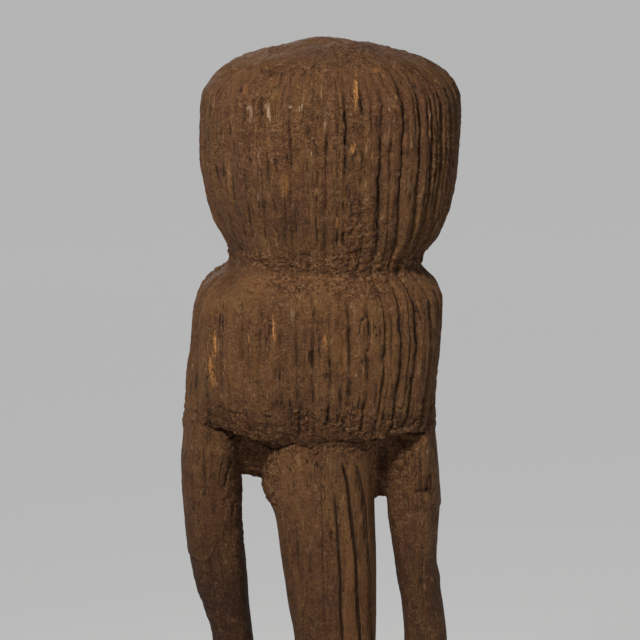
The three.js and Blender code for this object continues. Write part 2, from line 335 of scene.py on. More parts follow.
def single(name, x, y, z):
    form = FORMS[name]
    if name == "apron":
        sheared = z + APRON_TILT * (x + 4) * (1 - ease(476, 524, z))
        return form.distance(x, y, sheared)
    if name == "block":
        return form.distance(x, y, z, low=ledge_height(x, y))
    if name == "arm_right":
        # its top stays within the shoulder mass above it
        limit = FORMS["block"].distance(x, y, np.maximum(z, 505.0), low=-1000.0) - 1.5 - 14.0 * ease(502, 458, z)
        return soft_max(form.distance(x, y, z), limit, 4.0)
    return form.distance(x, y, z)


def parts_at(x, y, z):
    """The distance to each form, one row for each."""
    out = np.full((len(NAMES), len(x)), 60.0)
    for k, name in enumerate(NAMES):
        form = FORMS[name]
        near = (z > form.low - REACH) & (z < form.high + REACH)
        if name == "apron":
            near = (z > form.low - REACH - 18) & (z < form.high + REACH + 18)
        if near.all():
            out[k] = single(name, x, y, z)
        elif near.any():
            i = np.nonzero(near)[0]
            out[k, i] = single(name, x[i], y[i], z[i])
    return out


def joined(d, x, y, z):
    head, block, apron, trunk, arm_r, arm_l, leg_r, leg_l, base = d
    f = soft_min(head, block, 2.2)
    f = soft_min(f, apron, 3.0)
    # the shoulder mass runs down onto the trunk almost flush
    behind = ease(2, 20, y)
    f = soft_min(f, trunk, 2.2 + 8.0 * bump_at(x, 1, 27) + 4.0 * behind)
    k = 2.0 + 6.0 * (1 - ease(280, 360, z)) + 6.0 * behind * ease(440, 480, z)
    f = soft_min(f, arm_r, k)
    f = soft_min(f, arm_l, k)
    legs = soft_min(leg_r, leg_l, 4.0)
    f = soft_min(f, legs, 9.0)
    return soft_min(f, base, 5.0)


def field(p):
    return joined(parts_at(p[:, 0], p[:, 1], p[:, 2]), p[:, 0], p[:, 1], p[:, 2])


def in_chunks(call, p, size=400000):
    if len(p) <= size:
        return call(p)
    return np.concatenate([call(p[i : i + size]) for i in range(0, len(p), size)])


def slope_of(p, f0, step=0.25):
    g = np.empty_like(p)
    for k in range(3):
        q = p.copy()
        q[:, k] += step
        g[:, k] = (in_chunks(field, q) - f0) / step
    return g


# ------------------------------------------------------------------------------------------------ its skin


def spaced(stops):
    """Positions from the first stop to the last, each stretch with its own spacing; a multiple of three steps."""
    out = [np.array([stops[0][0]])]
    for (start, step), (end, _) in zip(stops[:-1], stops[1:]):
        steps = int(math.ceil((end - start) / step / 3)) * 3
        out.append(start + (end - start) * np.arange(1, steps + 1) / steps)
    return np.concatenate(out)


def skin():
    """A closed mesh of four-sided faces on the form, finer across the grain than along it."""
    a = 1.0
    gx = spaced([(-112, 0.84 * a), (112, 0)])
    gy = spaced([(-92, 0.84 * a), (30, 1.1 * a), (92, 0)])
    gz = spaced([(-6, 2.5 * a), (335, 1.75 * a), (484, 1.15 * a), (534, 1.75 * a), (618, 1.15 * a), (654, 1.7 * a), (806, 0)])
    grids = (gx, gy, gz)
    middles = [(g[:-3:3] + g[3::3]) / 2 for g in grids]
    mx, my, mz = np.meshgrid(*middles, indexing="ij")
    blocks = mx.shape
    coarse = in_chunks(field, np.stack([mx.ravel(), my.ravel(), mz.ravel()], 1)).reshape(blocks)
    near = np.abs(coarse) < 7.0

    def spread_out(values):
        for axis in range(3):
            values = np.repeat(values, 3, axis)
        return np.pad(values, ((0, 1), (0, 1), (0, 1)), mode="edge")

    volume, active = spread_out(coarse.astype(np.float32)), spread_out(near)
    i, j, k = np.nonzero(active)
    volume[i, j, k] = in_chunks(field, np.stack([gx[i], gy[j], gz[k]], 1))
    del active

    count = volume.shape
    inside = volume < 0
    cells = np.zeros([n - 1 for n in count], np.uint8)
    corners = [(a, b, c) for a in (0, 1) for b in (0, 1) for c in (0, 1)]
    for a, b, c in corners:
        cells += inside[a : count[0] - 1 + a, b : count[1] - 1 + b, c : count[2] - 1 + c]
    mixed = (cells > 0) & (cells < 8)
    ci, cj, ck = np.nonzero(mixed)
    number = np.full(mixed.shape, -1, np.int32)
    number[ci, cj, ck] = np.arange(len(ci))
    total = np.zeros((len(ci), 3))
    crossings = np.zeros(len(ci))
    for n1, c1 in enumerate(corners):
        for c2 in corners[n1 + 1 :]:
            if sum(abs(p - q) for p, q in zip(c1, c2)) != 1:
                continue
            f1 = volume[ci + c1[0], cj + c1[1], ck + c1[2]]
            f2 = volume[ci + c2[0], cj + c2[1], ck + c2[2]]
            cut = (f1 < 0) != (f2 < 0)
            t = np.where(cut, f1 / np.where(cut, f1 - f2, 1), 0)[:, None]
            total += np.where(cut[:, None], np.array(c1) * (1 - t) + np.array(c2) * t, 0)
            crossings += cut
    total /= crossings[:, None]
    start = np.stack([gx[ci], gy[cj], gz[ck]], 1)
    points = start + total * (np.stack([gx[ci + 1], gy[cj + 1], gz[ck + 1]], 1) - start)

    faces = []
    for axis in range(3):
        u, v = [(1, 2), (2, 0), (0, 1)][axis]
        first = [slice(None)] * 3
        second = [slice(None)] * 3
        first[axis], second[axis] = slice(0, count[axis] - 1), slice(1, count[axis])
        a, b = inside[tuple(first)], inside[tuple(second)]
        at = np.stack(np.nonzero(a != b), 1)
        at = at[(at[:, u] > 0) & (at[:, v] > 0) & (at[:, u] < count[u] - 1) & (at[:, v] < count[v] - 1)]
        leaving = a[tuple(at.T)]
        du, dv = np.zeros(3, int), np.zeros(3, int)
        du[u], dv[v] = 1, 1
        ring = [at - du - dv, at - dv, at, at - du]
        quad = np.stack([number[tuple(r.T)] for r in ring], 1)
        quad[~leaving] = quad[~leaving][:, ::-1]
        faces.append(quad)
    return points, np.concatenate(faces)


def settle(points, rounds=3):
    """Moves each point exactly onto the form, and gives the way the surface faces there."""
    for _ in range(rounds):
        f = in_chunks(field, points)
        g = slope_of(points, f)
        size = np.maximum((g * g).sum(1), 0.04)
        move = g * (f / size)[:, None]
        far = np.linalg.norm(move, axis=1, keepdims=True)
        points = points - move * np.minimum(1, 1.2 / np.maximum(far, 1e-9))
    return points


def looked_at(points):
    """The part that the eye goes to first: the front above the hips, and the crown."""
    x, y, z = points.T
    return (z > 345) & ((y < 22) | (z > 778))


# ------------------------------------------------------------------------------------------------ weathering


def arc_fill(degrees, name, level, salt):
    """The furrows' directions all the way round: those given, then the rest at the pitch."""
    row = FORMS[name].section(np.array([float(level)]))[0]
    n = FORMS[name].n

    def spot(t):
        c, s = np.cos(t), np.sin(t)
        a = np.abs(c) / np.where(c > 0, row[3], row[2])
        b = np.abs(s) / np.where(s > 0, row[5], row[4])
        r = (a**n + b**n) ** (-1 / n)
        return np.stack([r * c, r * s], 1)

    shown = np.radians(degrees)
    sweep = 2 * np.pi - (shown[-1] - shown[0])
    ts = shown[-1] + sweep * np.linspace(0, 1, 401)
    walk = np.concatenate([[0], np.cumsum(np.linalg.norm(np.diff(spot(ts), axis=0), axis=1))])
    rest = int(round(walk[-1] / FURROW_PITCH))
    k = np.arange(1, rest)
    way = walk[-1] * (k + 0.36 * (scatter(k, salt) - 0.5)) / rest
    filled = np.interp(way, walk, ts)
    return np.sort(np.degrees(np.concatenate([shown, filled])))


HEAD_ALL = arc_fill(HEAD_FURROWS, "head", 740, 1)
BLOCK_ALL = arc_fill(BLOCK_FURROWS, "block", 560, 2)


def between(directions, salt):
    """A lesser cut somewhere between each furrow and the next."""
    n = len(directions)
    ahead = np.concatenate([directions[1:], directions[:1] + 360])
    return directions + (ahead - directions) * (0.38 + 0.26 * scatter(np.arange(n), salt))


HEAD_LESSER = between(HEAD_ALL, 21)
BLOCK_LESSER = between(BLOCK_ALL, 22)


def nearest_furrow(t, directions):
    """For a direction in degrees: the signed angle to the nearest furrow, its number, and half the gap there."""
    n = len(directions)
    ring = np.concatenate([directions[-2:] - 360, directions, directions[:2] + 360])
    ids = np.concatenate([[n - 2, n - 1], np.arange(n), [0, 1]])
    t = (t - directions[0]) % 360 + directions[0]
    i = np.clip(np.searchsorted(ring, t), 1, len(ring) - 1)
    left, right = ring[i - 1], ring[i]
    use_right = (right - t) < (t - left)
    delta = np.where(use_right, t - right, t - left)
    return delta, np.where(use_right, ids[i], ids[i - 1]), (right - left) / 2


def facing(t, middle, width):
    """1 where direction t is within about width degrees of middle."""
    d = (t - middle + 180) % 360 - 180
    return np.exp(-((d / width) ** 2))


SIDE_DEGREES = [-180, -150, -122, -105, -93, -80, -68, -55, -42, 20, 60, 100, 140, 180]
SIDE_STRENGTH = [0.45, 0.54, 0.60, 0.64, 0.70, 0.76, 0.84, 0.95, 1.0, 1.0, 0.8, 0.6, 0.5, 0.45]


def side_strength(t):
    """Furrows are deepest on the figure's left and front left."""
    return np.interp(t, SIDE_DEGREES, SIDE_STRENGTH)


def seam(u, reach=5.0):
    """1 on the bottom line of a cut, falling smoothly to -1 well away from it."""
    return np.cos(np.pi * np.clip(np.abs(u) / reach, 0, 1))


def furrowed_surface(t, far, z, all_main, all_lesser, strength, fade, width, depth, seed, line_fade=None):
    """Narrow channels with flat strips between them, each strip at its own height and tilt, and lesser cuts in
    the strips: how deep each point lies, how near a bottom line, and its place beside the bottom lines."""
    far, none = np.maximum(far, 16), z * 0
    line_fade = fade if line_fade is None else line_fade
    delta, number, gap = nearest_furrow(t, all_main)
    half = np.maximum(np.radians(gap) * far, 1)
    u = np.radians(delta) * far
    strip = np.where(u >= 0, number, number - 1) % len(all_main)
    across = np.where(u >= 0, np.minimum(u / half, 1) - 1, 1 + np.maximum(u / half, -1))
    u = u + 0.55 * noise(number * 3.1, z / 13, none, seed + 5) + 0.34 * noise(number * 5.7, z / 4.6, none, seed + 6) + 0.22 * noise(number * 7.9, z / 2.3, none, seed + 14)
    own = (0.66 + 0.52 * scatter(number, seed)) * (0.88 + 0.42 * noise(number * 3.3, z / 27, none, seed) + 0.34 * noise(number * 3.3, z / 8, none, seed + 1))
    own = own + (0.92 - own) * (0.28 + 0.32 * ease(0.8, 1.0, strength))
    broken = 0.30 + 0.70 * ease(-0.30, 0.25, noise(number * 6.3, z / 11, none, seed + 15) + 0.4 * noise(number * 8.7, z / 3.5, none, seed + 16))
    main = strength * np.clip(own, 0.12, 1.35) * fade * (1 - 0.75 * (1 - broken) * ease(0.98, 0.78, strength))
    wide = width * (0.72 + 0.56 * scatter(number, seed + 7))
    wide = wide * (1 + 0.42 * noise(number * 5.1, z / 17, none, seed + 2) + 0.30 * noise(number * 9.1, z / 5, none, seed + 8))
    lean = 1 + 0.30 * np.sign(u) * (2 * scatter(number, seed + 9) - 1)
    a = np.abs(u) / (wide * lean)
    soft = 0.20 + 0.12 * ease(0.9, 1.0, strength) + 0.14 * ease(0.75, 0.6, strength)
    cut = depth * main * ((1 - soft) * np.exp(-(a**2.4)) + soft * np.exp(-((u / (2.3 * width)) ** 2)))
    # the strips are not level with each other
    level = 1.5 * (scatter(strip, seed + 11) - 0.5) + 1.5 * (scatter(strip, seed + 12) - 0.5) * across
    level = level + 0.5 * noise(strip * 4.7, z / 45, none, seed + 13) * across
    cut = cut + level * (0.25 + 0.75 * strength) * fade * (1 - np.exp(-(a**2) / 2))
    # how near the bottom line of the cut is; the material paints it as a line of shade
    line = (seam(u, 1.7 * width + 1.3) + 1) * np.clip(main * 1.15, 0, 0.8) - 1
    drawn = strength * np.clip(own, 0.12, 1.35) * line_fade
    beside = [u, np.clip(drawn * 1.2 - 0.12, 0, 0.95) * broken * ease(0.95, 0.6, np.abs(u) / half)]
    # lesser cuts
    delta, number, gap = nearest_furrow(t, all_lesser)
    u = np.radians(delta) * far + 0.5 * noise(number * 4.1, z / 11, none, seed + 10)
    some = np.clip(0.02 + 0.7 * scatter(number, seed + 3) + 0.8 * noise(number * 2.7, z / 20, none, seed + 4), 0, 1)
    lesser = (0.35 + 0.65 * strength) * some * fade
    cut = cut + depth * 0.42 * lesser * np.exp(-((np.abs(u) / (0.62 * width)) ** 1.8))
    line = np.maximum(line, (seam(u, 2.6) + 1) * np.clip(lesser * 0.9, 0, 0.6) - 1)
    half = np.maximum(np.radians(gap) * far, 1)
    broken = ease(-0.25, 0.30, noise(number * 5.9, z / 8, none, seed + 17))
    drawn = (0.35 + 0.65 * strength) * some * line_fade
    beside += [u, np.clip(drawn * 1.4 - 0.30, 0, 0.8) * broken * ease(0.95, 0.6, np.abs(u) / half)]
    return cut, line, beside


def head_relief(p):
    x, y, z = p.T
    dx, dy = x - HEAD_AXIS[0], y - HEAD_AXIS[1]
    far = np.hypot(dx, dy)
    t = np.degrees(np.arctan2(dy, dx))
    lean = np.clip((t + 90) / 28, -1, 1) * ease(-200, -150, t) * (1 - ease(-30, 0, t))
    c, s = np.cos(np.radians(t)), np.sin(np.radians(t))
    wander = 1.0 * noise(c * 6.5, s * 6.5, z / 36, 3) + 0.5 * noise(c * 15, s * 15, z / 13, 4) + 0.22 * noise(c * 30, s * 30, z / 6, 44)
    t2 = t - 4.2 * lean * (1 - ease(640, 700, z)) + np.degrees(wander / 88)
    side = side_strength(t)
    rim = 16 * ease(-95, -55, t) * (t < 60)
    crown = ease(768 + rim, 745 + 0.6 * rim, z) * ease(22, 66, far)
    neck = 0.45 + 0.55 * ease(640, 662, z)
    depth, line, beside = furrowed_surface(t2, far, z, HEAD_ALL, HEAD_LESSER, side, crown * neck, 1.72 + 0.5 * (1 - side), 4.6, 3, np.maximum(crown * neck, 0.55 * ease(745, 765, z) * ease(16, 40, far)))
    # shallow cuts between, and the broad softness of the figure's right
    depth = depth + (0.35 + 0.35 * (1 - side)) * np.clip(noise(c * 19, s * 19, z / 46, 7), 0, 1) * crown
    depth = depth + (0.35 + 2.3 * (1 - side)) * noise(c * 11.5, s * 11.5, z / 48, 77) * crown
    middle = facing(t, -74, 42)
    depth = depth + (0.9 * middle + 0.35) * ease(0.05, 0.75, noise(c * 27, s * 27, z / 6.5, 78)) * crown
    depth = depth + (0.60 * middle + 0.25) * layered(x / 4.2, y / 4.2, z / 3.4, 76, 2, 0.7) * crown
    streak = noise(c * 32, s * 32, z / 15, 8)
    depth = depth + (0.45 + 0.50 * (1 - side)) * np.clip(streak + 0.1, 0, 1) ** 1.2 * crown
    line = np.maximum(line, -1 + 1.35 * ease(0.3, 0.75, streak) * crown)
    # the crown: short broken strokes that fan out, small lumps and bites
    top = ease(742, 768, z)
    fan = noise(c * 13 + x / 19, s * 13 + y / 19, far / 10, 46)
    strokes = noise(c * 27 + x / 40, s * 27 + y / 40, far / 9, 50)
    depth = depth + top * (0.95 * np.clip(fan, 0, 1) + 0.75 * np.clip(strokes, -0.3, 1) * ease(16, 45, far) + 0.75 * layered(x / 7.0, y / 7.0, z / 7.0, 47, 3, 0.7) * ease(4, 28, far))
    line = np.maximum(line, -1 + top * 1.3 * ease(0.30, 0.75, np.maximum(fan, strokes)))
    depth = depth + top * 1.2 * ease(0.58, 0.78, noise(x / 4.2, y / 4.2, z / 4.2, 49))
    line = np.maximum(line, -1 + top * 1.0 * ease(0.55, 0.8, noise(x / 4.2, y / 4.2, z / 4.2, 49)))
    depth = depth - 0.9 * (1 - top) + 3.2 * ease(-50, -66, x) * ease(664, 642, z) + 1.6 * ease(60, 73, x) * ease(658, 640, z)
    crust = np.maximum(
        0.85 * ease(652, 640, z + 4 * noise(c * 9, s * 9, z * 0, 9)),
        0.75 * facing(t, -68, 22) * ease(722, 676, z + 12 * noise(c * 8, s * 8, z * 0, 10)),
    )
    crust = np.maximum(crust, 0.3 + 0.3 * ease(0, 0.5, noise(c * 5, s * 5, z / 26, 11)))
    crust = np.maximum(crust, 0.62 * facing(t, -76, 34) * ease(-0.25, 0.3, noise(c * 9, s * 9, z / 15, 79)) * crown)
    crust = np.maximum(crust, (0.52 + 0.2 * ease(-0.2, 0.4, noise(x / 13, y / 13, z / 13, 51))) * ease(762, 782, z))
    return depth, np.clip(crust, 0, 1), line, beside


def block_relief(p):
    x, y, z = p.T
    dx, dy = x - BLOCK_AXIS[0], y - BLOCK_AXIS[1]
    far = np.hypot(dx, dy)
    t = np.degrees(np.arctan2(dy, dx))
    c, s = np.cos(np.radians(t)), np.sin(np.radians(t))
    wander = 1.0 * noise(c * 6, s * 6, z / 30, 13) + 0.5 * noise(c * 14, s * 14, z / 12, 14) + 0.22 * noise(c * 30, s * 30, z / 6, 45)
    lean = np.clip((t + 90) / 40, -1, 1) * ease(-200, -150, t) * (1 - ease(-20, 10, t))
    t2 = t + np.degrees(wander / 85) + 1.6 * lean * ease(560, 515, z)
    side = side_strength(t)
    strength = 0.92 * side + 0.20 * bump_at(t, -90, 4)
    shoulder = 1 - (0.85 - 0.7 * ease(-62, -42, t) * (t < 20)) * ease(594, 616, z)
    low = 0.35 + 0.65 * ease(508, 524, z)
    torn = ease(15, -30, y) * ease(548, 520, z + 16 * noise(x / 14, y / 14, z / 20, 24))
    depth, line, beside = furrowed_surface(t2, far, z, BLOCK_ALL, BLOCK_LESSER, strength, shoulder * low, 1.65 + 0.5 * (1 - side), 4.5, 5)
    depth = depth + 0.40 * np.clip(noise(c * 18, s * 18, z / 42, 17), 0, 1) * low
    depth = depth + (0.40 + 2.5 * (1 - side)) * noise(c * 11.5, s * 11.5, z / 44, 87) * low
    middle = facing(t, -74, 42)
    depth = depth + (0.9 * middle + 0.35) * ease(0.05, 0.75, noise(c * 27, s * 27, z / 6.5, 88)) * low
    depth = depth + (0.60 * middle + 0.25) * layered(x / 4.2, y / 4.2, z / 3.4, 86, 2, 0.7)
    streak = noise(c * 31, s * 31, z / 14, 18)
    depth = depth + (0.45 + 0.50 * (1 - side)) * np.clip(streak + 0.1, 0, 1) ** 1.2 * low
    line = np.maximum(line, -1 + 1.35 * ease(0.3, 0.75, streak))
    depth = depth + torn * (1.7 * layered(x / 7.5, y / 7.5, z / 3.6, 25, 3, 0.65) + 0.9 * ease(0.2, 0.55, noise(x / 6, y / 6, z / 3.2, 26)))
    depth = depth + (2.3 * ease(-52, -66, x) + 1.0 * ease(60, 72, x)) * ease(603, 626, z)
    front = ease(20, -30, y)
    crust = np.maximum(
        (0.5 + 0.5 * front) * ease(542, 520, z + 12 * noise(c * 9, s * 9, z / 20, 19)),
        0.8 * ease(604, 622, z + 5 * noise(c * 7, s * 7, z * 0, 20)) * (1 - 0.5 * ease(-50, -25, t) * (t < 20)) * (1 - 0.5 * ease(-106, -128, t)),
    )
    crust = np.maximum(crust, 0.65 * facing(t, -76, 34) * ease(-0.1, 0.4, noise(x / 16, y / 16, z / 26, 21)))
    crust = np.maximum(crust, 0.3 + 0.2 * ease(0, 0.5, noise(c * 5, s * 5, z / 26, 12)))
    return depth, np.clip(crust, 0, 1), line, beside


def line_cut(x, z, ny, path, width, depth, wobble, start=34):
    """A cut along a line drawn on the front: how deep, how near its bottom line, and on which side of it."""
    hs = np.array([q[0] for q in path], float)[::-1]
    xs = np.array([q[1] for q in path], float)[::-1]
    at = curve(hs, xs, z) + wobble
    u = (x - at) / np.maximum(np.abs(ny), 0.35)
    ends = ease(hs[0] - 2, hs[0] + 14, z) * ease(hs[-1] + 2, hs[-1] - start, z) * (ny < 0.1)
    grow = 0.85 + 0.15 * np.sin(z / 19 + xs[0])
    wide = width * (0.45 + 0.55 * ends)
    cut = depth * ends * grow * (0.82 * np.exp(-((np.abs(u) / wide) ** 2.4)) + 0.18 * np.exp(-((u / (2.6 * wide)) ** 2)))
    return cut, (seam(u, 1.3 * width + 0.9) + 1) * ends - 1, u, ends


def trunk_relief(p, n):
    x, y, z = p.T
    none = z * 0
    depth, line = np.zeros(len(x)), np.full(len(x), -1.0)
    front = (n[:, 1] < 0.1) * ease(496, 474, z)
    beside = [np.full(len(x), 9.0), np.zeros(len(x)), np.full(len(x), 9.0), np.zeros(len(x))]

    def keep(place, u, force):
        force = force * ease(3.3, 2.0, np.abs(u))
        better = np.abs(u) < np.abs(beside[place])
        beside[place] = np.where(better, u, beside[place])
        beside[place + 1] = np.where(better, force, beside[place + 1])

    for k, (path, width, deep) in enumerate(CRACKS):
        wobble = 0.16 * noise(z / 24, none + k, none, 31) + 0.14 * noise(z / 5, none + k, none, 32)
        cut, near, u, ends = line_cut(x, z, n[:, 1], path, width, deep, wobble, (24, 9, 9)[k])
        depth, line = np.maximum(depth, cut), np.maximum(line, near)
        keep(0, u * (0.9, 0.78, 0.78)[k], ends * (0.85, 1.0, 1.0)[k])
        # the strips between the cracks are flat, each at its own level
        depth = depth + front * (-0.55, 0.85, -0.5)[k] * ease(-0.7, 0.7, u)
    for k, (path, width, deep) in enumerate(FAINT_CRACKS):
        wobble = 0.3 * noise(z / 11, none + k, none, 33)
        cut, near, u, ends = line_cut(x, z, n[:, 1], path, width, deep, wobble)
        depth, line = np.maximum(depth, cut), np.maximum(line, near * 0.7 - 0.3)
        keep(2, u, 0.55 * ends)
    lean = (z - 414) * 0.055
    depth = depth + 0.35 * np.clip(noise((x - lean) / 9, y / 9, z / 70, 34) + 0.1, 0, 1)
    streak = noise((x - lean) / 3.0, y / 3.0, z / 30, 35)
    depth = depth + 0.26 * np.clip(streak, 0, 1)
    line = np.maximum(line, -1 + 0.9 * ease(0.4, 0.8, streak))
    back = ease(-5, 20, y)
    depth = depth + back * 0.9 * np.clip(noise((x - lean) / 5.5, y / 5.5, z / 90, 36), 0, 1)
    crust = 0.9 * ease(488, 502, z + 6 * noise(x / 9, y / 9, z / 9, 37)) * ease(10, -20, y)
    crust = np.maximum(crust, 1.0 * ease(-26, -35, x) * ease(440, 462, z) * ease(25, 0, y))
    crust = np.maximum(crust, 0.22)
    depth = depth - 2.2 * bump_at(x, -39, 6) * bump_at(z, 468, 11) * ease(25, 0, y)
    return depth, np.clip(crust, 0, 1), line, beside


ELBOW_EDGE = [(-103.0, 411.5), (-94.7, 410.5), (-86.1, 409.0), (-82.5, 412.0), (-79.3, 417.2), (-76.9, 424.4), (-72.5, 428.5), (-68.0, 446.0), (-60.0, 452.0)]


def arm_relief(p, n, side):
    x, y, z = p.T
    k = 40 if side < 0 else 50
    centre = np.interp(z, [s[0] for s in (ARM_RIGHT if side < 0 else ARM_LEFT)], [s[1] for s in (ARM_RIGHT if side < 0 else ARM_LEFT)])
    along = (x - centre) * 0.45 + x * 0.55
    upper = ease(360, 440, z)
    depth = (0.5 + 0.5 * upper) * np.clip(noise(along / 6.5, y / 6.5, z / 85, k), 0, 1) - 0.9
    depth = depth + (0.2 + 0.4 * upper) * np.clip(noise(along / 2.9, y / 2.9, z / 36, k + 1), 0, 1)
    inner = ease(3, 11, (x - centre) * -side)
    crust = np.maximum(0.2, 0.62 * inner * ease(330, 400, z) * ease(30, 5, y) * (0.6 + 0.4 * ease(-0.3, 0.3, noise(z / 21, z * 0, z * 0, k + 6))))
    dark = np.zeros(len(x))
    beside = [np.full(len(x), 9.0), np.zeros(len(x)), np.full(len(x), 9.0), np.zeros(len(x))]
    for j, (offset, force) in enumerate([(-12.5, 0.7), (-8.0, 0.5), (-3.0, 0.75), (3.5, 0.5), (8.5, 0.6)] if side < 0 else [(-9.0, 0.5), (-4.5, 0.6), (2.0, 0.5), (6.5, 0.7), (11.5, 0.6)]):
        u = (x - centre - offset - 1.1 * noise(z / 33, z * 0 + j, z * 0, k + 8) - 0.3 * noise(z / 6, z * 0 + j, z * 0, k + 9)) / np.maximum(np.abs(n[:, 1]), 0.35)
        broken = ease(-0.15, 0.30, noise(z / 19, z * 0 + 2.3 * j, z * 0, k + 10) + 0.3 * noise(z / 5, z * 0 + 2.3 * j, z * 0, k + 11))
        much = force * broken * (0.35 + 0.65 * upper) * (n[:, 1] < 0.05)
        depth = depth + 0.9 * much * np.exp(-((u / 1.2) ** 2))
        better = np.abs(u) < np.abs(beside[2])
        beside[2] = np.where(better, u, beside[2])
        beside[3] = np.where(better, much * ease(2.6, 1.6, np.abs(u)), beside[3])
    depth = depth + 0.9 * ease(0.2, 0.8, n[:, 0] * side) * ease(370, 400, z)
    if side < 0:
        xs, zs = np.array([q[0] for q in ELBOW_EDGE]), np.array([q[1] for q in ELBOW_EDGE])
        edge = np.interp(x, xs, zs) + 0.8 * noise(x / 3, z * 0, z * 0, k + 2)
        loose = ease(-80, -72, x)
        below = ease(1.0, -1.0, (z - edge) / (1 + 4 * loose))
        front = ease(5, -12, y)
        fade = ease(300, 372, z)
        depth = depth + front * below * (0.6 + 0.5 * fade)
        crust = np.maximum(crust, 0.40 * below * fade * front)
        depth = depth + 0.75 * front * below * fade * noise(x / 12, y / 12, (z + 0.25 * x) / 4.2, k + 7)
        # painted shadow: a dark line just below the elbow's edge
        dark = np.maximum(dark, 0.55 * (1 - loose) * front * bump_at(z - edge, -1.2, 1.3))
        depth = depth - 1.8 * ease(-61, -70, x) * ease(480, 508, z) * ease(0.45, 0.85, -n[:, 1])
        ragged = noise(x / 5.5, y / 5.5, z / 4.0, k + 3)
        depth = depth + 0.9 * np.clip(ragged, 0, 1) * crust
        knot = np.hypot((x + 82.6) / 4.0, (z - 385.3) / 5.0)
        depth = depth + 1.8 * np.exp(-(knot**2)) * (y < 0) - 0.6 * np.exp(-((knot - 1.6) ** 2) * 3) * (y < 0)
        # strips at the outer edge, each a shallow vertical plane
        depth = depth + 0.5 * bump_at(x - centre + 11.5 + 0.9 * noise(z / 26, z * 0, z * 0, k + 4), 0, 1.1) * ease(415, 430, z) * front
        depth = depth + 0.45 * bump_at(x - centre + 4.0 + 0.9 * noise(z / 22, z * 0, z * 0, k + 5), 0, 1.0) * ease(440, 455, z) * front
    else:
        front = ease(2, -14, y)
        # a chip with a square lower corner, and a smaller step under it
        depth = depth - 1.7 * bump_at(z, 394, 8) * ease(0.2, 0.8, n[:, 0])
        gx, gz = x - 82.8, z - 465.5
        chip = ease(0.7, -0.5, gx) * ease(-0.7, 0.5, gz) * ease(-13, -3, gx) * ease(15, 5, gz)
        depth = depth + 2.6 * chip * front - 1.3 * bump_at(x, 77, 7) * bump_at(z, 458.5, 5.5) * front
        # painted shadow: dark lines along the chip's inner edges
        dark = np.maximum(dark, chip * front * np.maximum(bump_at(gx, -0.8, 1.0), bump_at(gz, 0.9, 0.9)))
        step = ease(-0.6, 0.6, 450.3 - z) * ease(428, 449, z) * ease(83.2, 84.6, x)
        depth = depth + 0.9 * step * front
        lump = bump_at(x, 60, 7) * bump_at(z, 486.5, 2.6)
        depth = depth - 1.6 * lump * front + 1.5 * bump_at(x, 58, 6) * bump_at(z, 480.5, 2.6) * front
        crust = np.maximum(crust, 0.8 * ease(458, 474, z) * ease(80, 68, x) * front)
        depth = depth - 4.0 * ease(66, 76, x) * ease(474, 503, z) * ease(0.45, 0.85, -n[:, 1])
        depth = depth + 0.5 * bump_at(x - centre - 5.5 + 0.8 * noise(z / 24, z * 0, z * 0, k + 4), 0, 1.1) * front
        ragged = noise(x / 4.5, y / 4.5, z / 6.5, k + 3)
        depth = depth + 1.0 * np.clip(ragged, 0, 1) * crust
    return depth, np.clip(crust, 0, 1), 2 * np.clip(dark, 0, 1) - 1, beside


def plain_relief(p, seed):
    """Parts with the same tool marks, plainer."""
    x, y, z = p.T
    depth = 0.9 * np.clip(noise(x / 6.0, y / 6.0, z / 80, seed), 0, 1)
    depth = depth + 0.45 * np.clip(noise(x / 2.8, y / 2.8, z / 34, seed + 1), 0, 1)
    check = noise(x / 7.5, y / 7.5, z / 140, seed + 2)
    split = np.exp(-((np.abs(check) / 0.045) ** 1.4)) * ease(0.15, 0.55, noise(x / 18, y / 18, z / 60, seed + 3))
    depth = depth + 1.6 * split
    return depth, np.full(len(x), 0.25), 1.7 * split - 1, None


# torn fibres under the shoulder mass: x and height along each, and its half width
STRANDS = [
    ([(-39.3, 503.5), (-41.2, 497.6), (-44.9, 492.6)], 0.75),
    ([(-57.7, 502.3), (-62.0, 499.5), (-65.0, 493.3), (-66.3, 487.9)], 0.8),
    ([(-74.0, 512.0), (-66.0, 508.0), (-60.0, 509.5), (-52.0, 505.0)], 0.8),
    ([(-52.0, 512.0), (-46.0, 509.0), (-42.0, 511.0), (-36.0, 506.0)], 0.7),
    ([(-88.0, 516.0), (-82.0, 513.0), (-78.0, 514.5)], 0.7),
    ([(-58.0, 480.6), (-51.0, 479.6), (-44.5, 481.4)], 0.9),
    ([(-66.0, 486.0), (-61.5, 484.5), (-58.0, 486.5)], 0.8),
    ([(-34.5, 499.0), (-38.0, 490.5), (-36.0, 482.0)], 0.9),
    ([(-31.0, 503.0), (-34.0, 497.5), (-31.0, 492.0)], 0.8),
    ([(52.0, 491.0), (59.0, 488.5), (66.0, 489.5)], 0.9),
    ([(50.0, 484.0), (56.0, 482.0), (63.0, 483.6)], 0.8),
    ([(74.5, 500.5), (71.0, 497.0), (71.5, 492.5)], 0.8),
    ([(-12.0, 501.5), (-6.0, 499.5), (1.0, 500.6)], 0.7),
    ([(14.0, 503.0), (20.0, 500.8), (27.0, 502.6)], 0.8),
    ([(30.0, 504.0), (36.0, 505.6), (41.0, 503.4)], 0.8),
]


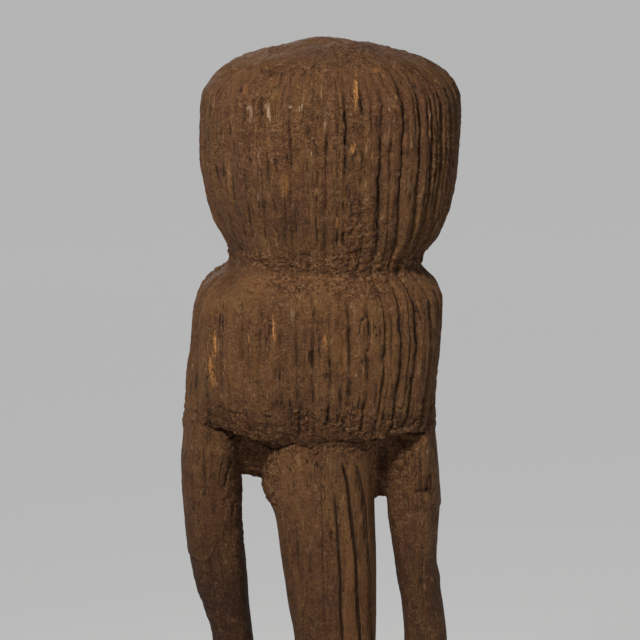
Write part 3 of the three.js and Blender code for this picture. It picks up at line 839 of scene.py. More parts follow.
# small cuts and cracks seen from in front: x and height along each, half width and depth
SMALL_CUTS = [
    ([(-66.0, 507.5), (-58.0, 509.0), (-46.0, 503.5), (-36.0, 499.5), (-28.0, 502.5), (-19.5, 505.6)], 0.9, 2.0),
    ([(-19.5, 505.6), (-6.0, 502.4), (1.5, 508.6), (22.0, 507.8), (28.0, 505.4), (39.0, 504.0)], 0.8, 1.2),
    ([(22.5, 499.0), (29.0, 500.6), (35.0, 498.4)], 0.7, 1.2),
    ([(39.0, 504.5), (49.0, 508.6), (59.0, 509.4), (76.0, 509.4)], 1.3, 2.6),
    ([(-92.0, 494.0), (-86.5, 489.0), (-82.0, 487.5)], 0.8, 0.8),
    ([(52.5, 518.0), (55.5, 523.0), (57.0, 531.0)], 0.9, 1.6),
    ([(64.0, 516.0), (67.5, 524.0), (69.0, 535.0)], 0.8, 1.4),
    ([(82.4, 477.0), (82.8, 471.0), (82.6, 465.8), (78.0, 465.2), (71.5, 465.6)], 1.0, 2.0),
    ([(82.0, 451.5), (85.5, 450.6), (88.0, 451.2)], 0.8, 0.8),
    ([(69.5, 494.0), (71.0, 490.5), (73.5, 489.5)], 0.9, 1.3),
    ([(54.0, 482.0), (60.0, 481.0), (66.0, 481.6)], 0.8, 1.0),
    ([(-59.0, 505.0), (-62.4, 501.0), (-62.8, 496.0), (-66.0, 488.0), (-69.4, 480.0), (-71.0, 466.0)], 0.8, 1.2),
    ([(-71.5, 493.0), (-73.5, 484.0), (-75.0, 470.0)], 0.8, 0.9),
    ([(-82.0, 509.5), (-77.0, 513.0), (-72.5, 516.5)], 0.8, 0.8),
    ([(-79.5, 498.0), (-80.5, 482.0), (-79.0, 466.0)], 0.7, 0.6),
    ([(-100.5, 411.2), (-94.7, 410.5), (-86.1, 409.0), (-82.5, 412.0), (-79.3, 417.2), (-76.9, 424.4)], 0.9, 0.7),
    ([(-87.0, 374.0), (-79.5, 371.8), (-74.0, 373.6)], 0.8, 0.7),
    ([(-92.0, 392.0), (-84.0, 393.4), (-76.0, 391.0)], 0.7, 0.5),
    ([(-90.5, 383.5), (-83.0, 382.0), (-77.5, 383.8)], 0.7, 0.4),
]


def from_path(x, z, path):
    """How far a point seen from in front is from a line of short straight stretches, below zero on its other side,
    and how far it is past the line's ends."""
    out, past = np.full(len(x), 99.0), np.zeros(len(x))
    last = len(path) - 2
    for k, ((x1, z1), (x2, z2)) in enumerate(zip(path[:-1], path[1:])):
        dx, dz = x2 - x1, z2 - z1
        long = math.hypot(dx, dz)
        raw = ((x - x1) * dx + (z - z1) * dz) / long
        t = np.clip(raw / long, 0, 1)
        far = np.hypot(x - x1 - t * dx, z - z1 - t * dz)
        side = np.where((x - x1) * dz - (z - z1) * dx < 0, -1.0, 1.0)
        beyond = np.maximum(-raw if k == 0 else 0 * raw, raw - long if k == last else 0 * raw)
        closer = far < np.abs(out)
        out = np.where(closer, far * side, out)
        past = np.where(closer, np.maximum(beyond, 0), past)
    return out, past


def relief(p, n):
    """How far each point is cut in; how crusty it is; how much old grime and painted shade it carries; how near it
    lies to the bottom line of a cut; and its place beside the nearest cut, lesser cut and torn strand, each with how
    strong that is."""
    near = parts_at(*p.T)
    near = near - near.min(axis=0)
    share = np.exp(-near / 1.2)
    share /= share.sum(axis=0)
    depth, crust, line = (np.zeros(len(p)) for _ in range(3))
    beside = [np.zeros(len(p)) for _ in range(4)]
    for k, name in enumerate(NAMES):
        i = np.nonzero(share[k] > 0.01)[0]
        if not len(i):
            continue
        q, m = p[i], n[i]
        if name == "head":
            got = head_relief(q)
        elif name == "block":
            got = block_relief(q)
        elif name == "trunk":
            got = trunk_relief(q, m)
        elif name.startswith("arm"):
            got = arm_relief(q, m, -1 if name == "arm_right" else 1)
        elif name == "apron":
            d, c, f, _ = plain_relief(q, 60)
            got = (d + 0.5, np.full(len(q), 0.9) * ease(25, 0, q[:, 1]), f, None)
        else:
            got = plain_relief(q, 80 + 10 * k)
        w = share[k, i]
        depth[i] += got[0] * w
        crust[i] += got[1] * w
        line[i] += got[2] * w
        for j, plain in enumerate((9.0, 0.0, 9.0, 0.0)):
            beside[j][i] += (plain if got[3] is None else got[3][j]) * w
    x, y, z = p.T
    # the whole surface is a little uneven
    depth = depth + 0.55 * noise(x / 26, y / 26, z / 34, 91) + 0.28 * noise(x / 9, y / 9, z / 14, 92)
    # crust: small lumps and torn fibre, mostly lying across the grain in the crease and under the ledge
    lumps = layered(x / 2.6, y / 2.6, z / 2.4, 93, 2, 0.6)
    bent = 2.2 * noise(x / 13, y / 13, z / 13, 97)
    fibre = 1 - np.abs(noise(x / 8.0 + bent, y / 8.0, z / 2.3 + bent, 95)) * 3.4
    clod = ease(0.1, 0.6, noise(x / 5.5, y / 5.5, z / 4.5, 98))
    rough = ease(0.42, 0.85, crust)
    depth = depth - crust * 0.62 * lumps - rough * (0.42 * lumps + 0.62 * np.clip(fibre, -0.4, 1) + 0.5 * clod)
    # torn strands lying on the surface
    strand, strand_force = np.full(len(p), 9.0), np.zeros(len(p))
    for path, width in STRANDS:
        i = np.nonzero((np.abs(z - path[0][1]) < 24) & (y < 5) & (np.abs(x - path[0][0]) < 24))[0]
        if len(i):
            u, past = from_path(x[i], z[i], path)
            force = ease(2.0, 0.0, past) * ease(4.0, 2.5, np.abs(u)) * ease(-0.25, 0.30, noise(x[i] / 4.0, z[i] / 4.0, z[i] * 0, 113))
            better = np.abs(u) < np.abs(strand[i])
            strand[i] = np.where(better, u, strand[i])
            strand_force[i] = np.where(better, force, strand_force[i])
            depth[i] -= 1.1 * np.exp(-((u / width) ** 2)) * (0.3 + 0.7 * force) * ease(3.0, 0.0, past)
    # the undercut below the shoulder mass
    under = ledge_height(x, y) - z
    hollow = 0.75 * bump_at(x, -44, 13) + 0.9 * bump_at(x, 58, 11) + 0.10
    beneath = share[NAMES.index("trunk")] + share[NAMES.index("apron")] + share[NAMES.index("arm_right")] + share[NAMES.index("arm_left")]
    depth = depth + beneath * np.clip(hollow, 0, 1.15) * 2.6 * ease(12, 3, under) * ease(-1, 1.5, under) * ease(30, 0, y)
    # painted shade: a dark line along the undercut edge
    line = np.maximum(line, -1 + 1.5 * beneath * np.clip(hollow, 0, 1) * bump_at(under, 2.5, 2.4) * ease(10, -10, y))
    recess = share[NAMES.index("apron")] * bump_at(x, 46.5, 4.5) * ease(450, 466, z) * ease(504, 495, z) * ease(15, -5, y)
    depth = depth + 3.4 * recess
    corner = bump_at(x, -39, 7.5) * ease(484, 500, z) * ease(-20, -34, y)
    depth = depth - share[NAMES.index("apron")] * corner * (7.0 + 2.0 * noise(x / 4.5, y / 4.5, z / 4.0, 114))
    # chips: small shallow bites with a clear edge
    bite = noise(x / 6.5, y / 6.5, z / 8.5, 96)
    depth = depth + 0.9 * ease(0.62, 0.74, bite)
    for path, width, deep in SMALL_CUTS:
        i = np.nonzero((np.abs(z - path[0][1]) < 36) & (y < 5) & (x > min(path[0][0], path[-1][0]) - 10) & (x < max(path[0][0], path[-1][0]) + 10))[0]
        if len(i):
            u, past = from_path(x[i], z[i], path)
            patchy = 0.35 + 0.65 * ease(-0.35, 0.2, noise(x[i] / 5.5, z[i] / 5.5, z[i] * 0, 112))
            ends = ease(3.0, 0.0, past) * (patchy if deep < 1.9 else 1.0)
            depth[i] += deep * ends * np.exp(-((u / width) ** 2))
            k = 0 if deep >= 1.9 and path[0][1] < 490 else 2
            better = (np.abs(u) < 3.2) & ((np.abs(u) < np.abs(beside[k][i])) | (beside[k + 1][i] < 0.3))
            beside[k][i] = np.where(better, u, beside[k][i])
            beside[k + 1][i] = np.where(better, ends * ease(3.2, 2.0, np.abs(u)) * min(1.0, 0.35 + 0.4 * deep), beside[k + 1][i])
    # painted shade with some old grime: darker along the torn band at the ledge, in the recesses under it, on the
    # inner sides of the arms and on the forearms, and in random grime blotches all over
    blot = layered(x / 17, y / 17, z / 11, 111, 4, 0.7)
    ahead = ease(25, -15, y)
    grime_and_shade = ahead * ease(556, 518, z + 34 * blot) * ease(498, 508, z) * (0.72 - 0.3 * ease(-20, 50, x)) * ease(-97, -78, x)
    grime_and_shade = np.maximum(grime_and_shade, 0.55 * ahead * ease(514, 504, z) * ease(440, 470, z + 20 * blot) * np.clip(bump_at(x, -52, 16) + bump_at(x, 56, 12), 0, 1))
    inner = np.maximum(bump_at(x, -62 + 0.05 * (z - 400), 6), 0.7 * bump_at(x, 57, 5.5))
    grime_and_shade = np.maximum(grime_and_shade, 0.8 * inner * ease(490, 465, z) * ease(320, 380, z) * (0.7 + 0.7 * blot))
    grime_and_shade = np.maximum(grime_and_shade, 0.85 * ahead * ease(-50, -60, x) * ease(418, 396, z + 14 * blot) * (0.85 + 0.4 * blot))
    grime_and_shade = np.maximum(grime_and_shade, 0.55 * ease(0.02, 0.42, blot))
    grime_and_shade = np.maximum(grime_and_shade, 0.95 * ahead * beneath * bump_at(x, 56, 14) * bump_at(z, 502, 7))
    grime_and_shade = np.maximum(grime_and_shade, 0.62 * ahead * ease(-58, -68, x) * ease(508, 490, z))
    grime_and_shade = np.maximum(grime_and_shade, np.clip(1.3 * recess, 0, 1))
    # the foot stays flat
    out = np.minimum(depth, 7.0) * ease(0.2, 4.0, z)
    return out, crust, np.clip(grime_and_shade, 0, 1), line, beside + [strand, strand_force]


# ------------------------------------------------------------------------------------------------ marks by name

# x, height, half width, half height, strength: bare wood showing orange or ochre on the front
WORN_MARKS = [
    (25.8, 763.0, 1.17, 11.0, 1.0),
    (23.6, 725.8, 1.25, 2.4, 0.8),
    (41.0, 779.9, 2.3, 1.6, 0.35),
    (-76.8, 580.5, 0.86, 7.0, 1.0),
    (-80.4, 563.0, 1.09, 5.0, 0.9),
    (-77.5, 551.5, 1.72, 3.4, 0.45),
    (-33.4, 592.0, 1.01, 8.5, 1.0),
    (3.6, 582.5, 0.94, 4.8, 0.7),
    (12.0, 670.0, 1.01, 3.6, 0.6),
    (-25.1, 697.0, 2.34, 8.0, 0.35),
    (-53.2, 764.5, 1.6, 3.4, 0.4),
    (68.8, 682.9, 1.0, 4.6, 0.25),
    (78.4, 504.8, 0.78, 2.2, 0.6),
    (-34.0, 708.0, 0.86, 7.0, 0.3),
    (17.0, 575.0, 2.5, 9.0, 0.25),
    (-34.0, 629.0, 2.6, 0.6, 0.25),
    (-8.0, 629.5, 5.0, 0.7, 0.35),
    (12.0, 628.6, 4.0, 0.6, 0.25),
    (-52.0, 586.0, 0.8, 2.2, 0.6),
    (16.0, 562.5, 0.8, 2.6, 0.6),
]
# painted highlights: pale, slightly shiny glints, mostly along the upper rim
GLINT_MARKS = [
    (-36.9, 752.2, 0.8, 3.0, 1.0),
    (-36.0, 747.0, 0.6, 2.4, 0.8),
    (-38.0, 755.0, 1.2, 1.6, 0.8),
    (-49.0, 749.8, 0.8, 2.6, 0.75),
    (-49.9, 745.4, 0.6, 2.0, 0.55),
    (-50.5, 753.5, 1.7, 1.4, 0.55),
    (-21.4, 754.8, 1.2, 1.3, 0.8),
    (-12.8, 755.0, 1.2, 1.3, 0.9),
    (-15.5, 752.8, 3.0, 0.7, 0.4),
    (3.6, 748.5, 0.8, 8.5, 0.55),
    (72.7, 748.6, 0.6, 2.8, 0.5),
    (79.3, 745.4, 0.6, 3.4, 1.0),
    (64.9, 696.3, 0.9, 2.4, 0.35),
    (-66.5, 739.0, 0.6, 1.6, 0.4),
    (-44.6, 690.0, 0.8, 2.8, 0.4),
    (-20.0, 684.0, 0.6, 1.2, 0.4),
    (-28.0, 611.0, 2.2, 0.8, 0.35),
    (-20.0, 603.0, 1.4, 4.2, 0.4),
    (23.0, 610.0, 1.0, 2.0, 0.3),
    (28.0, 587.0, 0.7, 2.2, 0.3),
    (79.6, 495.7, 0.9, 1.4, 0.6),
    (62.0, 516.0, 1.0, 0.9, 0.3),
]
PITS = [
    (-56.8, 765.7, 1.3, 1.5, 1.2),
    (-67.1, 746.7, 1.0, 2.2, 1.3),
    (-10.8, 777.5, 1.6, 1.4, 1.0),
    (-32.2, 768.5, 1.3, 1.3, 0.9),
    (-50.3, 716.2, 1.0, 1.6, 1.0),
    (-41.8, 778.2, 1.1, 1.1, 0.8),
    (-24.6, 667.0, 1.2, 5.0, 0.6),
    (-18.2, 637.0, 2.0, 1.2, 0.7),
    (-31.0, 538.0, 1.2, 4.0, 0.9),
    (-31.0, 498.0, 1.4, 3.0, 1.0),
    (8.2, 436.0, 1.0, 3.4, 1.2),
]


def spots_at(p, table):
    """Where each point lies in the nearest named spot, in its half sizes, and how strong that spot is."""
    x, y, z = p.T
    out = np.zeros((len(x), 3))
    out[:, :2] = 5.0
    best = np.full(len(x), 50.0)
    for mx, mz, w, h, s in table:
        i = np.nonzero((np.abs(x - mx) < 5 * w + 2) & (np.abs(z - mz) < 4 * h + 2) & (y < 0))[0]
        if len(i):
            qx, qz = (x[i] - mx) / w, (z[i] - mz) / h
            q = qx * qx + qz * qz
            better = q < best[i]
            j = i[better]
            best[j] = q[better]
            out[j, 0], out[j, 1], out[j, 2] = qx[better], qz[better], s * ease(12, 5, q[better])
    return out


def marks(p, table):
    """Soft spots at named places on the front."""
    x, y, z = p.T
    out = np.zeros(len(x))
    for mx, mz, w, h, s in table:
        i = np.nonzero((np.abs(x - mx) < 4 * w + 2) & (np.abs(z - mz) < 3 * h + 2) & (y < 0))[0]
        if len(i):
            wob = 0.5 * w * noise(z[i] / 4.0, x[i] * 0, x[i] * 0, int(mz))
            q = ((x[i] - mx + wob) / w) ** 2 + ((z[i] - mz) / h) ** 2
            out[i] = np.maximum(out[i], s * np.exp(-(q**1.3) * 0.9))
    return out


# ------------------------------------------------------------------------------------------------ the mesh


def to_object(name, points, faces):
    mesh = bpy.data.meshes.new(name)
    mesh.vertices.add(len(points))
    mesh.vertices.foreach_set("co", (points * 0.001).astype(np.float32).ravel())
    mesh.loops.add(faces.size)
    mesh.loops.foreach_set("vertex_index", faces.astype(np.int32).ravel())
    mesh.polygons.add(len(faces))
    width = faces.shape[1]
    mesh.polygons.foreach_set("loop_start", np.arange(0, faces.size, width, dtype=np.int32))
    mesh.polygons.foreach_set("loop_total", np.full(len(faces), width, np.int32))
    mesh.update(calc_edges=True)
    mesh.validate()
    obj = bpy.data.objects.new(name, mesh)
    bpy.context.scene.collection.objects.link(obj)
    return obj


def points_of(mesh):
    co = np.empty(len(mesh.vertices) * 3, np.float32)
    mesh.vertices.foreach_get("co", co)
    return co.reshape(-1, 3).astype(float) * 1000.0


def store(mesh, name, values):
    kind = "FLOAT" if values.ndim == 1 else "FLOAT_VECTOR"
    attribute = mesh.attributes.new(name, kind, "POINT")
    attribute.data.foreach_set("value" if kind == "FLOAT" else "vector", values.astype(np.float32).ravel())


def grain_of(p):
    """Where a point lies in the grain: along z the wood runs with the furrows, over the crown too."""
    x, y, z = p.T
    t = np.arctan2(y - HEAD_AXIS[1], x - HEAD_AXIS[0])
    far = np.hypot(x - HEAD_AXIS[0], y - HEAD_AXIS[1])
    sect = FORMS["head"].section(np.full(len(x), 740.0))
    c, s = np.cos(t), np.sin(t)
    a = np.abs(c) / np.where(c > 0, sect[:, 3], sect[:, 2])
    b = np.abs(s) / np.where(s > 0, sect[:, 5], sect[:, 4])
    wide = (a**HEAD_SQUARENESS + b**HEAD_SQUARENESS) ** (-1 / HEAD_SQUARENESS)
    over = 757 + np.maximum(wide - far, 0) * ease(750, 762, z)
    head = np.stack([HEAD_AXIS[0] + wide * c, HEAD_AXIS[1] + wide * s, np.where(z > 750, z * (1 - ease(750, 775, z)) + over * ease(750, 775, z), z)], 1)
    broken = (ease(72, 22, far) * 0.85 + 0.15) * ease(752, 775, z)
    head = head * (1 - broken[:, None]) + p * broken[:, None]
    w = ease(NECK_Z - 3, NECK_Z + 3, z)[:, None]
    return p * (1 - w) + head * w


points, faces = skin()
points = settle(points)
f0 = in_chunks(field, points)
normals = slope_of(points, f0)
normals /= np.maximum(np.linalg.norm(normals, axis=1, keepdims=True), 1e-9)


sunk = relief(points, normals)[0] + 1.4 * marks(points, PITS)
moved = points - normals * sunk[:, None]
moved[:, 2] = np.maximum(moved[:, 2], 0.0)
figure = to_object("carved_figure_surface", moved, faces)


def thinned(obj, movable, triangles):
    """Takes triangles out where movable is true, until so many are left in all."""
    now = sum(len(q.vertices) - 2 for q in obj.data.polygons)
    if now <= triangles:
        return
    group = obj.vertex_groups.new(name="movable")
    group.add(np.nonzero(movable)[0].tolist(), 1.0, "REPLACE")
    thin = obj.modifiers.new("thin", "DECIMATE")
    thin.ratio = triangles / now
    thin.vertex_group = "movable"
    thin.vertex_group_factor = 0.0
    bpy.context.view_layer.update()
    mesh = bpy.data.meshes.new_from_object(obj.evaluated_get(bpy.context.evaluated_depsgraph_get()))
    old, name = obj.data, obj.data.name
    obj.modifiers.clear()
    obj.vertex_groups.clear()
    obj.data = mesh
    bpy.data.meshes.remove(old)
    mesh.name = name


def mended(obj):
    """Closes the surface again where thinning has pinched it."""
    work = bmesh.new()
    work.from_mesh(obj.data)
    for _ in range(6):
        bad = [e for e in work.edges if len(e.link_faces) != 2]
        if not bad:
            break
        near = {f for e in bad for v in e.verts for f in v.link_faces}
        bmesh.ops.delete(work, geom=list(near), context="FACES")
        loose = [v for v in work.verts if not v.link_faces]
        bmesh.ops.delete(work, geom=loose, context="VERTS")
        bmesh.ops.holes_fill(work, edges=[e for e in work.edges if len(e.link_faces) == 1], sides=0)
    flat = [f for f in work.faces if len(f.verts) > 4]
    bmesh.ops.triangulate(work, faces=flat)
    bmesh.ops.recalc_face_normals(work, faces=list(work.faces))
    work.to_mesh(obj.data)
    work.free()


shown = looked_at(points_of(figure.data))
front_share = (2 * len(faces)) * shown.mean()
thinned(figure, ~shown, int(front_share + HIDDEN_TRIANGLES))
thinned(figure, looked_at(points_of(figure.data)), TARGET_TRIANGLES)
mended(figure)
mesh = figure.data
mesh.polygons.foreach_set("use_smooth", np.ones(len(mesh.polygons), bool))
final = points_of(mesh)
away = slope_of(final, in_chunks(field, final))
away /= np.maximum(np.linalg.norm(away, axis=1, keepdims=True), 1e-9)
depth, crust, grime_and_shade, line, beside = relief(final, away)
# line, cut and lesser_cut mark where the material paints shade along cut bottoms and undercut edges
store(mesh, "line", line)
store(mesh, "sunk", depth)
store(mesh, "crust", crust)
# painted shade with old grime
store(mesh, "grime_and_shade", grime_and_shade)
store(mesh, "up", np.clip(away[:, 2], 0, 1))
store(mesh, "cut", np.stack([beside[0], beside[1], beside[0] * 0], 1))
store(mesh, "lesser_cut", np.stack([beside[2], beside[3], beside[0] * 0], 1))
store(mesh, "strand", np.stack([beside[4], beside[5], beside[0] * 0], 1))
store(mesh, "worn", spots_at(final, WORN_MARKS))
# painted glints
store(mesh, "pale", spots_at(final, GLINT_MARKS))
store(mesh, "pit", marks(final, PITS))
store(mesh, "grain", grain_of(final) * 0.001)
mesh.update()
print("triangles", sum(len(q.vertices) - 2 for q in mesh.polygons))

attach(figure, "root")
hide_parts("carved_figure")

# ------------------------------------------------------------------------------------------------ its material


class Nodes:
    """Short ways to make and join shader nodes."""

    def __init__(self, material):
        material.use_nodes = True
        self.tree = material.node_tree
        self.tree.nodes.clear()

    def add(self, kind, **values):
        node = self.tree.nodes.new(kind)
        for key, value in values.items():
            setattr(node, key, value)
        return node

    def link(self, a, b):
        self.tree.links.new(a, b)

    def feed(self, socket, value):
        if isinstance(value, (int, float, tuple, list)):
            socket.default_value = value
        else:
            self.link(value, socket)

    def attribute(self, name, output="Fac"):
        return self.add("ShaderNodeAttribute", attribute_name=name).outputs[output]

    def math(self, op, a, b=0.0, clamp=False):
        node = self.add("ShaderNodeMath", operation=op, use_clamp=clamp)
        self.feed(node.inputs[0], a)
        self.feed(node.inputs[1], b)
        return node.outputs[0]

    def scaled(self, vector, scale):
        node = self.add("ShaderNodeVectorMath", operation="MULTIPLY")
        self.feed(node.inputs[0], vector)
        node.inputs[1].default_value = scale
        return node.outputs[0]

    def noise(self, vector, scale, detail=2.0, rough=0.5, distortion=0.0):
        node = self.add("ShaderNodeTexNoise", noise_dimensions="3D")
        self.feed(node.inputs["Vector"], vector)
        node.inputs["Scale"].default_value = scale
        node.inputs["Detail"].default_value = detail
        node.inputs["Roughness"].default_value = rough
        node.inputs["Distortion"].default_value = distortion
        return node.outputs["Fac"]

    def spots(self, vector, scale):
        node = self.add("ShaderNodeTexVoronoi", feature="F1", voronoi_dimensions="3D")
        self.feed(node.inputs["Vector"], vector)
        node.inputs["Scale"].default_value = scale
        return node.outputs["Distance"], node.outputs["Color"]

    def spread(self, value, low, high, to_low=0.0, to_high=1.0):
        node = self.add("ShaderNodeMapRange", clamp=True, interpolation_type="SMOOTHSTEP")
        self.feed(node.inputs["Value"], value)
        node.inputs["From Min"].default_value = low
        node.inputs["From Max"].default_value = high
        node.inputs["To Min"].default_value = to_low
        node.inputs["To Max"].default_value = to_high
        return node.outputs["Result"]

    def mix(self, factor, a, b, blend="MIX"):
        node = self.add("ShaderNodeMix", data_type="RGBA", blend_type=blend, clamp_factor=True)
        self.feed(node.inputs[0], factor)
        self.feed(node.inputs[6], a)
        self.feed(node.inputs[7], b)
        return node.outputs[2]


def tone(r, g, b):
    """A colour given as it looks on a screen, 0 to 255."""
    def linear(v):
        v /= 255.0
        return v / 12.92 if v <= 0.04045 else ((v + 0.055) / 1.055) ** 2.4

    return (linear(r), linear(g), linear(b), 1.0)


def wood(r, g, b):
    """A tone of the wood, as dark as the whole figure is."""
    return tone(r * 0.94, g * 0.915, b * 0.82)


def hardwood():
    material = bpy.data.materials.new("weathered_hardwood")
    n = Nodes(material)
    out = n.add("ShaderNodeOutputMaterial")
    shader = n.add("ShaderNodeBsdfPrincipled")
    n.link(shader.outputs[0], out.inputs["Surface"])
    place = n.add("ShaderNodeTexCoord").outputs["Object"]
    grain = n.attribute("grain", "Vector")
    line, sunk, crust = n.attribute("line"), n.attribute("sunk"), n.attribute("crust")
    grime_and_shade, pit = n.attribute("grime_and_shade"), n.attribute("pit")

    def parted(name):
        node = n.add("ShaderNodeSeparateXYZ")
        n.link(n.attribute(name, "Vector"), node.inputs[0])
        return node.outputs

    # wood in broad patches: warm brown, purplish brown, olive tan
    colour = n.mix(n.spread(n.noise(place, 26.0, 3.0, 0.6), 0.40, 0.62), wood(107, 73, 44), wood(96, 62, 41))
    colour = n.mix(n.spread(n.noise(n.scaled(grain, (1, 1, 0.35)), 44.0, 3.0, 0.6), 0.50, 0.68), colour, wood(109, 80, 48))
    colour = n.mix(n.spread(n.noise(n.scaled(grain, (1, 1, 0.10)), 105.0, 2.0), 0.50, 0.66, 0.0, 0.70), colour, wood(97, 60, 47))
    colour = n.mix(n.spread(n.noise(n.scaled(grain, (1, 1, 0.16)), 82.0, 2.0), 0.52, 0.68, 0.0, 0.62), colour, wood(124, 90, 57))

    # fibres along the grain, in three widths
    wide = n.noise(n.scaled(grain, (1, 1, 0.07)), 190.0, 2.0, 0.55)
    thin = n.noise(n.scaled(grain, (1, 1, 0.09)), 460.0, 2.0, 0.6)
    hair = n.noise(n.scaled(grain, (1, 1, 0.10)), 1150.0, 1.0, 0.5)
    colour = n.mix(n.spread(wide, 0.34, 0.50, 0.40, 0.0), colour, wood(64, 41, 26))
    colour = n.mix(n.spread(thin, 0.53, 0.68, 0.0, 0.42), colour, wood(134, 96, 60))
    colour = n.mix(n.spread(thin, 0.32, 0.46, 0.55, 0.0), colour, wood(56, 35, 23))
    colour = n.mix(n.spread(hair, 0.34, 0.50, 0.45, 0.0), colour, wood(58, 38, 25))

    # painted shade: the lower body is darkened as if the light fell off towards the bottom, most on the arms below the
    # elbow and on the forearm at the figure's right, and the base darker still
    apart = n.add("ShaderNodeSeparateXYZ")
    n.link(place, apart.inputs[0])
    across, height_z = apart.outputs[0], apart.outputs[2]
    low = n.spread(height_z, 0.33, 0.48, 0.55, 0.0)
    outer = n.spread(n.math("ABSOLUTE", apart.outputs[0]), 0.045, 0.056)
    reach = n.math("MULTIPLY", n.spread(height_z, 0.27, 0.34), n.math("ADD", n.math("MULTIPLY", outer, 0.20), 0.50))
    low = n.math("MULTIPLY", low, n.math("ADD", n.math("ADD", n.math("MULTIPLY", outer, 0.58), 0.42), reach))
    colour = n.mix(n.math("MINIMUM", low, 0.62), colour, wood(44, 28, 19))
    forearm_shade = n.math("MULTIPLY", n.spread(across, -0.060, -0.050, 1.0, 0.0), n.math("MULTIPLY", n.spread(height_z, 0.37, 0.42, 0.9, 0.0), n.spread(height_z, 0.25, 0.32, 0.4, 1.0)))
    colour = n.mix(forearm_shade, colour, (0.62, 0.60, 0.58, 1.0), "MULTIPLY")
    # painted light: the trunk's left side, between and beside its cracks, is lightened where it turns away from the
    # light
    strips = n.math("MULTIPLY", n.spread(across, 0.012, 0.020), n.spread(across, 0.044, 0.050, 1.0, 0.0))
    strips = n.math("MULTIPLY", strips, n.math("MULTIPLY", n.spread(height_z, 0.30, 0.34), n.spread(height_z, 0.484, 0.496, 0.20, 0.0)))
    colour = n.mix(strips, colour, wood(172, 124, 80))

    # pale dust and painted light on what looks up
    dust_and_top_light = n.spread(n.math("ADD", n.attribute("up"), n.math("MULTIPLY", n.noise(place, 95.0, 3.0, 0.6), 0.6)), 0.70, 1.35, 0.0, 0.20)
    colour = n.mix(dust_and_top_light, colour, wood(160, 114, 78))
    # painted light: the upper body, the shoulder mass, the tops of the arms and the middle of the shoulder front are
    # lighter, as if the light fell strongest there; painted shade: what is below them is darker and redder
    height_z = n.add("ShaderNodeSeparateXYZ")
    n.link(place, height_z.inputs[0])
    height_z = height_z.outputs[2]
    upper_painted_light = n.math("MULTIPLY", n.spread(height_z, 0.42, 0.47), n.spread(height_z, 0.612, 0.640, 0.11, 0.0))
    shoulders = n.math("MULTIPLY", n.spread(height_z, 0.597, 0.607), n.spread(height_z, 0.620, 0.632, 0.09, 0.0))
    middle = n.math("MULTIPLY", n.spread(across, -0.022, -0.004), n.spread(across, 0.048, 0.062, 1.0, 0.0))
    middle = n.math("MULTIPLY", middle, n.math("MULTIPLY", n.spread(height_z, 0.52, 0.55), n.spread(height_z, 0.60, 0.62, 0.06, 0.0)))
    upper_painted_light = n.math("ADD", upper_painted_light, n.math("ADD", shoulders, middle))
    colour = n.mix(upper_painted_light, colour, wood(172, 124, 80))
    colour = n.mix(n.spread(height_z, 0.35, 0.50, 1.0, 0.0), colour, (1.0, 0.92, 0.82, 1.0), "MULTIPLY")

    # the wood is worn smoother below, and roughest on the shoulder mass
    rougher = n.math("MULTIPLY", n.spread(height_z, 0.50, 0.53), n.spread(height_z, 0.60, 0.63, 0.20, 0.0))
    fine = n.math("MULTIPLY", n.spread(height_z, 0.34, 0.50, 0.62, 1.08), n.math("ADD", rougher, 1.0))

    # grit and dust
    grit = n.noise(place, 800.0, 3.0, 0.80)
    dust = n.noise(place, 250.0, 3.0, 0.62)
    colour = n.mix(n.math("MULTIPLY", n.spread(dust, 0.53, 0.68, 0.0, 0.26), fine), colour, wood(128, 92, 60))
    colour = n.mix(n.math("MULTIPLY", n.spread(dust, 0.33, 0.46, 0.26, 0.0), fine), colour, wood(60, 38, 25))
    colour = n.mix(n.math("MULTIPLY", n.spread(grit, 0.54, 0.66, 0.0, 0.45), fine), colour, wood(160, 125, 94))
    colour = n.mix(n.math("MULTIPLY", n.spread(grit, 0.34, 0.45, 0.42, 0.0), fine), colour, wood(43, 26, 14))

    # crust is warmer: torn fibres curled into each other, with dark gaps, and crumbs between
    def bent(vector, scale, amount):
        node = n.add("ShaderNodeTexNoise", noise_dimensions="3D")
        n.link(vector, node.inputs["Vector"])
        node.inputs["Scale"].default_value = scale
        node.inputs["Detail"].default_value = 1.0
        total = n.add("ShaderNodeVectorMath", operation="ADD")
        n.link(vector, total.inputs[0])
        n.link(n.scaled(node.outputs["Color"], (amount, amount, amount)), total.inputs[1])
        return total.outputs[0]

